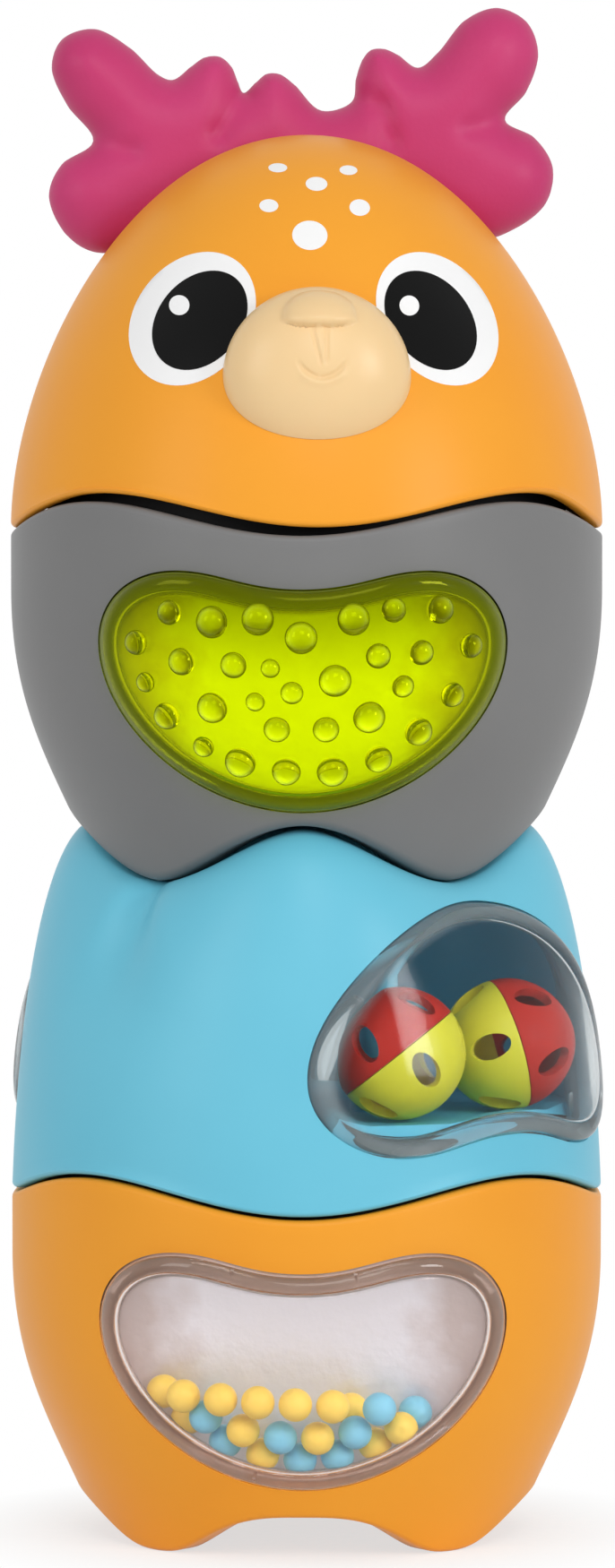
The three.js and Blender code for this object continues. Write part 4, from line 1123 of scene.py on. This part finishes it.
def crest_swell(point, from_edge):
    """Half the crest's thickness at a point, thin at the outline and pressed in along the creases."""
    share = min(1, from_edge / CREST_SWELL)
    half = CREST_HALF_THICK * math.sqrt(max(0, 1 - (1 - share) ** 2))
    for start, end, depth in CREST_CREASES:
        off = off_segment(point, Vector(start), Vector(end)) / CREST_CREASE_WIDTH
        half -= depth * math.exp(-off * off) * share
    return max(half, 0)


def crest_form(name):
    """The crest as two swollen sheets that meet along its outline."""
    outline = smooth_loop(CREST_OUTLINE, 9)
    count = len(outline)
    points, halves = list(outline), [0] * count

    def place(point, least):
        from_edge = min((point - rim).length for rim in outline)
        if from_edge > least:
            points.append(point)
            halves.append(crest_swell(point, from_edge))

    for i, point in enumerate(outline):
        ahead = outline[(i + 1) % count] - outline[i - 1]
        inward = Vector((ahead.y, -ahead.x)).normalized()
        for inset in CREST_INSETS:
            place(point + inward * inset, 0.85 * inset)
    left, low = CREST_GRID["start"]
    for row in range(CREST_GRID["rows"]):
        for column in range(CREST_GRID["columns"]):
            x = left + CREST_GRID["across"] * (column + row % 2 / 2)
            place(Vector((x, low + CREST_GRID["up"] * row)), CREST_GRID["clear"])
    flat, _, faces, source, _, _ = delaunay_2d_cdt(points, [], [list(range(count))], 1, 0.001)
    half_at = [halves[origin[0]] if origin else 0 for origin in source]
    sheets = [(p.x, CREST_BACK - half, HEAD_HEIGHT + p.y) for p, half in zip(flat, half_at)]
    behind = {}
    for i, half in enumerate(half_at):
        behind[i] = len(sheets) if half else i
        if half:
            sheets.append((flat[i].x, CREST_BACK + half, HEAD_HEIGHT + flat[i].y))
    back_faces = [[behind[i] for i in reversed(face)] for face in faces]
    return apply(meshed(name, sheets, list(faces) + back_faces), "SMOOTH", factor=0.5, iterations=3)


crest = crest_form("crest")
combine(crest, copy_of(proud_dome, "crest_cut"), "DIFFERENCE")
finish(crest, "head", "antlers", crest_vinyl, ["antlers"], sharp=50, **HEAD)


# Snout: egg-shaped, with a raised nose, a groove under it and a smile
def pressed_line(off, depth, width, fold, fold_off, fold_width):
    """Height across a pressed line that has a low fold beside it."""
    raised = fold * math.exp(-((off + fold_off) / fold_width) ** 2)
    return raised - depth * math.exp(-(off / width) ** 2)


def snout_relief(x, z):
    across, up = x - NOSE["across"], z - NOSE["up"]
    half_high = NOSE["above"] if up > 0 else NOSE["below"]
    nose = (abs(across) / NOSE["half"]) ** NOSE["power"] + (abs(up) / half_high) ** NOSE["power"]
    height = NOSE["proud"] * math.sqrt(max(0, 1 - nose))
    along = (z - GROOVE["foot"]) / GROOVE["run"]
    beside = abs(x - lerp(*GROOVE["middles"], along)) - lerp(*GROOVE["halves"], along)
    foot, top = GROOVE_ENDS
    height += ease(z, *foot) * (1 - ease(z, *top)) * pressed_line(beside, **GROOVE_LINE)
    aside = across - SMILE["across"]
    apart = (z - SMILE["bend"] * aside ** 2) / math.hypot(1, 2 * SMILE["bend"] * aside)
    height += (1 - ease(abs(aside), *SMILE["ends"])) * pressed_line(apart, **SMILE_LINE)
    return height


snout_front = head_radius(SNOUT_HEIGHT)
bpy.ops.mesh.primitive_uv_sphere_add(segments=192, ring_count=112, radius=1, rotation=(math.pi / 2, 0, 0))
snout = new_piece("snout")
for vertex in snout.data.vertices:
    x, y, z = vertex.co
    across = x * SNOUT_HALF_WIDTH
    up = z * (SNOUT_ABOVE if z > 0 else SNOUT_BELOW)
    out = -y * (SNOUT_PROUD + SNOUT_SINK)
    relief = snout_relief(across, up) if y < 0 else 0
    lift = relief * SNOUT_RELIEF_LIFT * max(0, z)
    vertex.co = (across, SNOUT_SINK - snout_front - out - relief, SNOUT_HEIGHT + up + lift)
combine(snout, copy_of(proud_dome, "snout_cut"), "DIFFERENCE")
finish(snout, "head", "muzzle", snout_plastic, ["muzzle"], sharp=50, **HEAD)


# Printed face: thin ink patches that follow the dome
def print_on_dome(name, across, up, half_long, half_short, lean, proud, ink):
    """An oval of ink; lean turns its long axis from upright towards the right."""
    turn = math.radians(lean)
    rings = []
    for depth, shares in ((proud, steps(12)), (-INK_SUNK, [1, 0])):
        for share in shares:
            points = []
            for i in range(PRINT_STEPS if share else 1):
                angle = 2 * math.pi * i / PRINT_STEPS
                along = half_long * math.cos(angle) * share
                beside = half_short * math.sin(angle) * share
                x = across + along * math.sin(turn) + beside * math.cos(turn)
                z = up + along * math.cos(turn) - beside * math.sin(turn)
                radius = head_radius(z) + depth
                points.append(Vector((x, -math.sqrt(max(radius * radius - x * x, 1)), z)))
            rings.append(points)
    return finish(skin(name, rings), "head", "orange_shell", ink, **HEAD)


def print_eye(name, sign, eye, proud, ink):
    """One oval of an eye, mirrored from the right to the left by its sign."""
    size = (eye["half_long"], eye["half_short"])
    print_on_dome(name, sign * eye["across"], eye["up"], *size, -sign * eye["lean"], proud, ink)


for side, sign in (("left", -1), ("right", 1)):
    print_eye(f"{side}_eye_white", sign, EYE_WHITE, WHITE_PROUD, white_ink)
    print_eye(f"{side}_eye_pupil", sign, EYE_PUPIL, PUPIL_PROUD, black_ink)
for side, (across, up) in EYE_LIGHTS.items():
    size = EYE_LIGHT_RADIUS
    print_on_dome(f"{side}_eye_light", across, up, size, size, 0, LIGHT_PROUD, white_ink)
for number, (across, up, half_high, half_wide) in enumerate(FAWN_SPOTS, 1):
    print_on_dome(f"fawn_spot_{number}", across, up, half_high, half_wide, 0, WHITE_PROUD, white_ink)
bpy.data.objects.remove(proud_dome)

# Screws: pan heads with a cross recess
pan_radius, pan_high = SCREW_HEAD
shank_radius, shank_top = SCREW_SHANK
screw = post(pan_radius, 0, pan_high)
combine(screw, post(shank_radius, pan_high / 2, shank_top), "UNION")
for turn in (0, math.pi / 2):
    bpy.ops.mesh.primitive_cube_add(size=1, scale=SCREW_CROSS, rotation=(0, 0, turn))
    combine(screw, new_piece("cross"), "DIFFERENCE")
ease_edges(screw, SCREW_EDGE, 2)
for tier in ("base", "cap", "upper", "head"):
    for number in range(1, FEET + 1):
        node = f"{tier}_screw_{number}"
        low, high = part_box(node)
        copy = copy_of(screw, f"{tier}_cross_screw_{number}")
        centre = (low + high) / 2
        copy.data.transform(Matrix.Translation(Vector((centre.x, centre.y, low.z)) * TO_MM))
        finish(copy, tier, "screws", screw_steel, [node])
bpy.data.objects.remove(screw)


# Studio: a pale floor under a white surround, with soft lamps; sizes in metres
FLOOR_RADIUS = 3
FLOOR_FADE = (0.035, 0.066)
FLOOR_WHITE = 0.67
SURROUND_LIGHT = 0.45
SOFTBOXES = {
    "front_softbox": {
        "place": (0.2, -1.35, 1.05), "aim": (0, 0, 0.14), "width": 0.7, "height": 0.7, "watts": 6.3,
    },
    "right_softbox": {
        "place": (1.05, -0.9, 0.5), "aim": (0, 0, 0.12), "width": 0.3, "height": 0.44, "watts": 5.8,
    },
    "left_softbox": {
        "place": (-1.05, -0.9, 0.6), "aim": (0, 0, 0.12), "width": 0.4, "height": 0.7, "watts": 3.6,
    },
}


def in_view(tree):
    """1 for what the camera sees, also in a reflection or through a window, and 0 for other light."""
    ray = add(tree, "LightPath")
    direct = add(tree, "Math", {
        0: ray.outputs["Is Camera Ray"], 1: ray.outputs["Is Glossy Ray"],
    }, operation="MAXIMUM")
    return add(tree, "Math", {
        0: direct.outputs[0], 1: ray.outputs["Is Transmission Ray"],
    }, operation="MAXIMUM").outputs[0]


def white_ground(name):
    """Matt white board: the object's shadow shows on it, and it runs out into plain white."""
    material, tree = new_material(name)
    place = add(tree, "TexCoord").outputs["Object"]
    grain = add(tree, "TexNoise", {"Vector": place, "Scale": per_metre(2), "Detail": 2.0})
    matt = add(tree, "BsdfDiffuse", {"Color": ramp(tree, grain.outputs["Fac"], "#f6f6f6", "#fafafa")})
    far = add(tree, "VectorMath", {0: place}, operation="LENGTH")
    fade = add(tree, "MapRange", {
        "Value": far.outputs["Value"], "From Min": FLOOR_FADE[0], "From Max": FLOOR_FADE[1],
        "To Min": FLOOR_WHITE,
    })
    share = add(tree, "Math", {0: in_view(tree), 1: fade.outputs["Result"]}, operation="MULTIPLY")
    white = add(tree, "Emission", {"Color": linear("#ffffff"), "Strength": 1.0})
    mixed = add(tree, "MixShader", {
        0: share.outputs[0], 1: matt.outputs["BSDF"], 2: white.outputs["Emission"],
    })
    add(tree, "OutputMaterial", {"Surface": mixed.outputs["Shader"]})
    return material


bpy.ops.mesh.primitive_circle_add(vertices=64, radius=FLOOR_RADIUS, fill_type="NGON")
ground = new_piece("studio_floor")
ground.data.materials.append(white_ground("white_board"))

world = bpy.data.worlds.new("studio_surround")
world.use_nodes = True
world.node_tree.nodes.clear()
bpy.context.scene.world = world
level = add(world.node_tree, "MapRange", {
    "Value": in_view(world.node_tree), "To Min": SURROUND_LIGHT, "To Max": 1.0,
})
surround = add(world.node_tree, "Background", {
    "Color": linear("#ffffff"), "Strength": level.outputs["Result"],
})
add(world.node_tree, "OutputWorld", {"Surface": surround.outputs["Background"]})


def softbox(name, place, aim, width, height, watts):
    lamp_data = bpy.data.lights.new(name, "AREA")
    lamp_data.shape = "RECTANGLE"
    lamp_data.size = width
    lamp_data.size_y = height
    lamp_data.energy = watts
    lamp = bpy.data.objects.new(name, lamp_data)
    lamp.location = place
    lamp.rotation_euler = (Vector(aim) - lamp.location).to_track_quat("-Z", "Y").to_euler()
    bpy.context.scene.collection.objects.link(lamp)


for name, settings in SOFTBOXES.items():
    softbox(name, **settings)
